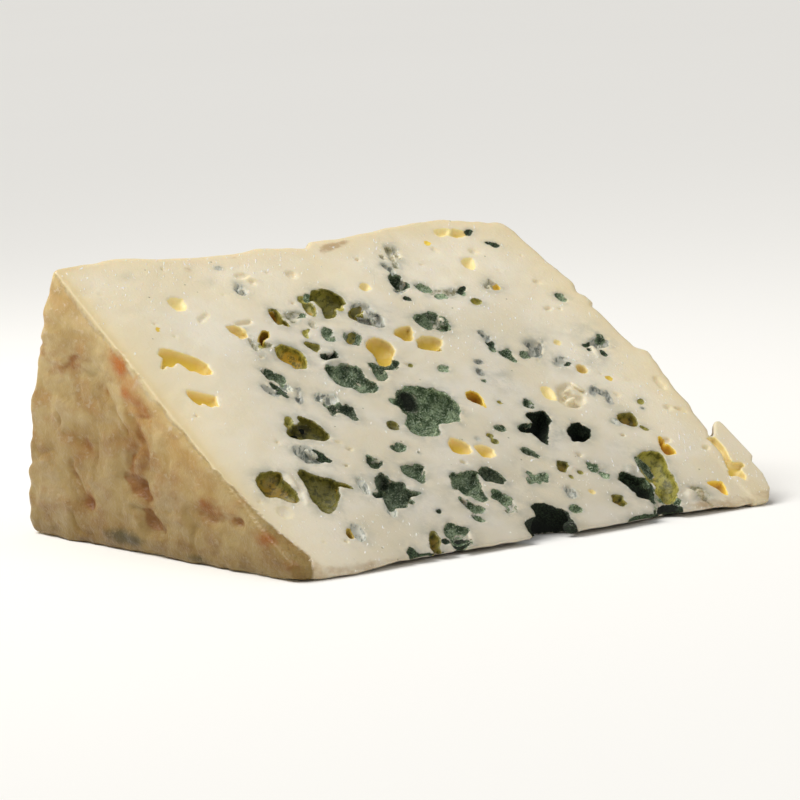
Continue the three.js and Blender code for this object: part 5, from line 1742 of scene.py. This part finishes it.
@dataclass
class CheeseWedge:
    """The wedge: its skin worked out from the field, thinned where it is plain, and dressed."""

    step: float = 0.42
    triangles: int = 196_000
    plain_share: float = 0.16
    low: Vector = field(default_factory=lambda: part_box("cheese_wedge")[0])
    high: Vector = field(default_factory=lambda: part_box("cheese_wedge")[1])

    @property
    def corner(self) -> tuple[float, float]:
        """The x of the left flat rind and the y of the thin edge, metres."""
        return self.high.x - BOX_TO_LEFT_RIND / 1000.0, self.low.y + BOX_TO_THIN_EDGE / 1000.0

    def to_scene(self, points: Array) -> Array:
        """Puts points in the scene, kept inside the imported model's box.

        Args:
            points: The (u, v, w) of the points, mm.

        Returns:
            Their places in the scene, metres.
        """
        u, v, w = points.T
        behind, height = WedgeSolid.upright(v, w)
        left, front = self.corner
        places = np.stack([left + u / 1000.0, front + behind / 1000.0, height / 1000.0], axis=1)
        return self.kept_in(places)

    def kept_in(self, places: Array, margin: float = 2e-5) -> Array:
        """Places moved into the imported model's box where they are outside it, metres."""
        low = np.array(self.low) + margin * np.array((1, 1, 0))
        return np.clip(places, low, np.array(self.high) - margin)

    def from_scene(self, places: Array) -> Array:
        """Undoes to_scene.

        Args:
            places: Places in the scene, metres.

        Returns:
            Their (u, v, w), mm.
        """
        left, front = self.corner
        u = (places[:, 0] - left) * 1000.0
        behind = (places[:, 1] - front) * 1000.0
        height = places[:, 2] * 1000.0 - THIN_EDGE_HEIGHT
        v = behind * math.cos(CUT_ANGLE) + height * math.sin(CUT_ANGLE)
        w = behind * math.sin(CUT_ANGLE) - height * math.cos(CUT_ANGLE)
        return np.stack([u, v, w], axis=1)

    @staticmethod
    def mesh_of(name: str, places: Array, faces: Array) -> bpy.types.Mesh:
        """Makes a mesh of four-sided faces.

        Args:
            name: Name of the mesh.
            places: Its vertices, metres.
            faces: The four vertices of each face.

        Returns:
            The mesh.
        """
        mesh = bpy.data.meshes.new(name)
        mesh.vertices.add(len(places))
        mesh.vertices.foreach_set("co", places.astype(np.float32).ravel())
        mesh.loops.add(faces.size)
        mesh.loops.foreach_set("vertex_index", faces.astype(np.int32).ravel())
        mesh.polygons.add(len(faces))
        mesh.polygons.foreach_set("loop_start", np.arange(0, faces.size, 4, dtype=np.int32))
        mesh.update(calc_edges=True)
        mesh.validate()
        return mesh

    def thin_out(self, wedge: bpy.types.Object, plain: Array) -> None:
        """Merges faces: first most of those on the plain sides, then the flattest of them all.

        Args:
            wedge: The wedge's object.
            plain: Whether each of its points is on the base, the curved rind or the right end.
        """
        faces = 2 * len(wedge.data.polygons)
        if faces <= self.triangles:
            return
        group = wedge.vertex_groups.new(name="plain")
        group.add(np.flatnonzero(plain).tolist(), 1.0, "REPLACE")
        kept = 1.0 - (1.0 - self.plain_share) * float(plain.mean())
        for ratio, name in ((kept, group.name), (self.triangles / (kept * faces), "")):
            thinner = wedge.modifiers.new("thinner", "DECIMATE")
            thinner.ratio, thinner.vertex_group = ratio, name
        held = wedge.evaluated_get(bpy.context.evaluated_depsgraph_get())
        thinned = bpy.data.meshes.new_from_object(held)
        full = wedge.data
        wedge.modifiers.clear()
        wedge.vertex_groups.clear()
        wedge.data = thinned
        bpy.data.meshes.remove(full)

    def build(self) -> bpy.types.Object:
        """Makes the wedge.

        Returns:
            The finished object, at the origin.
        """
        solid = WedgeSolid(self.step)
        skin = FieldSkin(solid.whole(), solid.low, self.step)
        mesh = self.mesh_of("blue_cheese", self.to_scene(skin.points), skin.faces)
        wedge = placed("blue_cheese", mesh)
        self.thin_out(wedge, solid.plain(*skin.points.T))
        mesh = wedge.data
        mesh.name = "blue_cheese"
        places = np.empty(3 * len(mesh.vertices), dtype=np.float32)
        mesh.vertices.foreach_get("co", places)
        places = self.kept_in(places.reshape(-1, 3).astype(np.float64))
        mesh.vertices.foreach_set("co", places.astype(np.float32).ravel())
        points = self.from_scene(places)
        for name, values in SurfaceMasks(solid).all(*points.T).items():
            mesh.attributes.new(name, "FLOAT", "POINT").data.foreach_set("value", values.astype(np.float32))
        mesh.polygons.foreach_set("use_smooth", np.ones(len(mesh.polygons), dtype=bool))
        mesh.materials.append(CheeseMaterial().build())
        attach(wedge, "root")
        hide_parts("cheese_wedge")
        return wedge


@dataclass
class Studio:
    """The pale floor, the soft lights and the camera."""

    floor_size: float = 30.0
    floor_height: float = -5e-5
    floor_colour: Colour = screen(248, 247, 244)
    sky_strength: float = 0.33
    # The camera: what it looks at, how far away, its turn, rise and roll in degrees, and its lens
    target: Triple = (-0.000085, -0.001603, 0.022871)
    distance: float = 0.813714
    angles: Triple = (-34.871, 7.227, -3.188)
    lens_mm: float = 190.04

    def floor(self) -> bpy.types.Object:
        """A wide flat floor, a hair under the wedge."""
        half = self.floor_size / 2.0
        corners = np.array([(-half, -half), (half, -half), (half, half), (-half, half)])
        mesh = bpy.data.meshes.new("floor")
        mesh.from_pydata(np.c_[corners, np.full(4, self.floor_height)].tolist(), [], [(0, 1, 2, 3)])
        floor = placed("floor", mesh)
        material = bpy.data.materials.new("Pale floor")
        material.use_nodes = True
        bench = NodeBench(material.node_tree)
        shader = material.node_tree.nodes["Principled BSDF"]
        where = bench.node("TexCoord").outputs["Object"]
        shaded = tuple(0.985 * c for c in self.floor_colour)
        tone = bench.mix(bench.noise(where, 400.0), self.floor_colour, shaded)
        bench.feed(shader.inputs["Base Color"], tone)
        shader.inputs["Roughness"].default_value = 0.8
        mesh.materials.append(material)
        return floor

    def soft_box(self, name: str, place: Triple, size: float, watts: float, colour: Colour) -> None:
        """Adds a square soft light that faces the wedge's middle.

        Args:
            name: Name of the light.
            place: Where it stands, metres.
            size: Its side, metres.
            watts: Its power.
            colour: Its colour.
        """
        light = bpy.data.lights.new(name, "AREA")
        light.size, light.energy, light.color = size, watts, colour
        lamp = placed(name, light)
        lamp.location = place
        middle = Vector((0.0, 0.0, 0.02))
        lamp.rotation_euler = (middle - Vector(place)).to_track_quat("-Z", "Y").to_euler()

    def light(self) -> None:
        """Soft light from above and behind the left, with a weaker fill from the camera's side."""
        sky = bpy.data.lights.new("overhead", "SUN")
        sky.energy, sky.angle, sky.color = 1.8, math.radians(45.0), (1.0, 0.985, 0.955)
        lamp = placed("overhead", sky)
        lamp.rotation_euler = Vector((0.4, -0.3, -1.0)).to_track_quat("-Z", "Y").to_euler()
        self.soft_box("key", (-0.14, 0.3, 0.36), 0.18, 0.9, (1.0, 0.985, 0.95))
        self.soft_box("front", (0.3, -1.1, 0.6), 0.5, 2.4, (1.0, 0.995, 0.98))
        world = bpy.data.worlds.new("studio")
        bpy.context.scene.world = world
        world.use_nodes = True
        back = world.node_tree.nodes["Background"]
        back.inputs["Color"].default_value = (1.0, 0.995, 0.985, 1.0)
        back.inputs["Strength"].default_value = self.sky_strength

    def camera(self) -> bpy.types.Object:
        """The camera: low in front of the wedge's left end, with a slight roll."""
        turn, rise, roll = (math.radians(angle) for angle in self.angles)
        back = Vector((math.sin(turn) * math.cos(rise), -math.cos(turn) * math.cos(rise), math.sin(rise)))
        right = (-back).cross(Vector((0.0, 0.0, 1.0))).normalized()
        up = right.cross(-back)
        tilted_right = right * math.cos(roll) + up * math.sin(roll)
        tilted_up = up * math.cos(roll) - right * math.sin(roll)
        lens = bpy.data.cameras.new("camera")
        lens.lens, lens.sensor_width = self.lens_mm, 36.0
        lens.clip_start, lens.clip_end = 0.05, 60.0
        camera = placed("camera", lens)
        axes = Matrix((tilted_right, tilted_up, back)).transposed().to_4x4()
        camera.matrix_world = Matrix.Translation(Vector(self.target) + self.distance * back) @ axes
        bpy.context.scene.camera = camera
        return camera

    def build(self) -> None:
        """Sets up the whole studio."""
        self.floor()
        self.light()
        self.camera()
        bpy.context.scene.view_settings.view_transform = "Standard"


def main() -> None:
    """Builds the scene."""
    logging.basicConfig(level=logging.INFO, format="%(name)s: %(message)s")
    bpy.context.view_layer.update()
    Studio().build()
    wedge = CheeseWedge(step=0.42).build()
    log.info("%s: %d faces", wedge.name, len(wedge.data.polygons))
    bpy.context.view_layer.update()


if __name__ == "__main__":
    main()
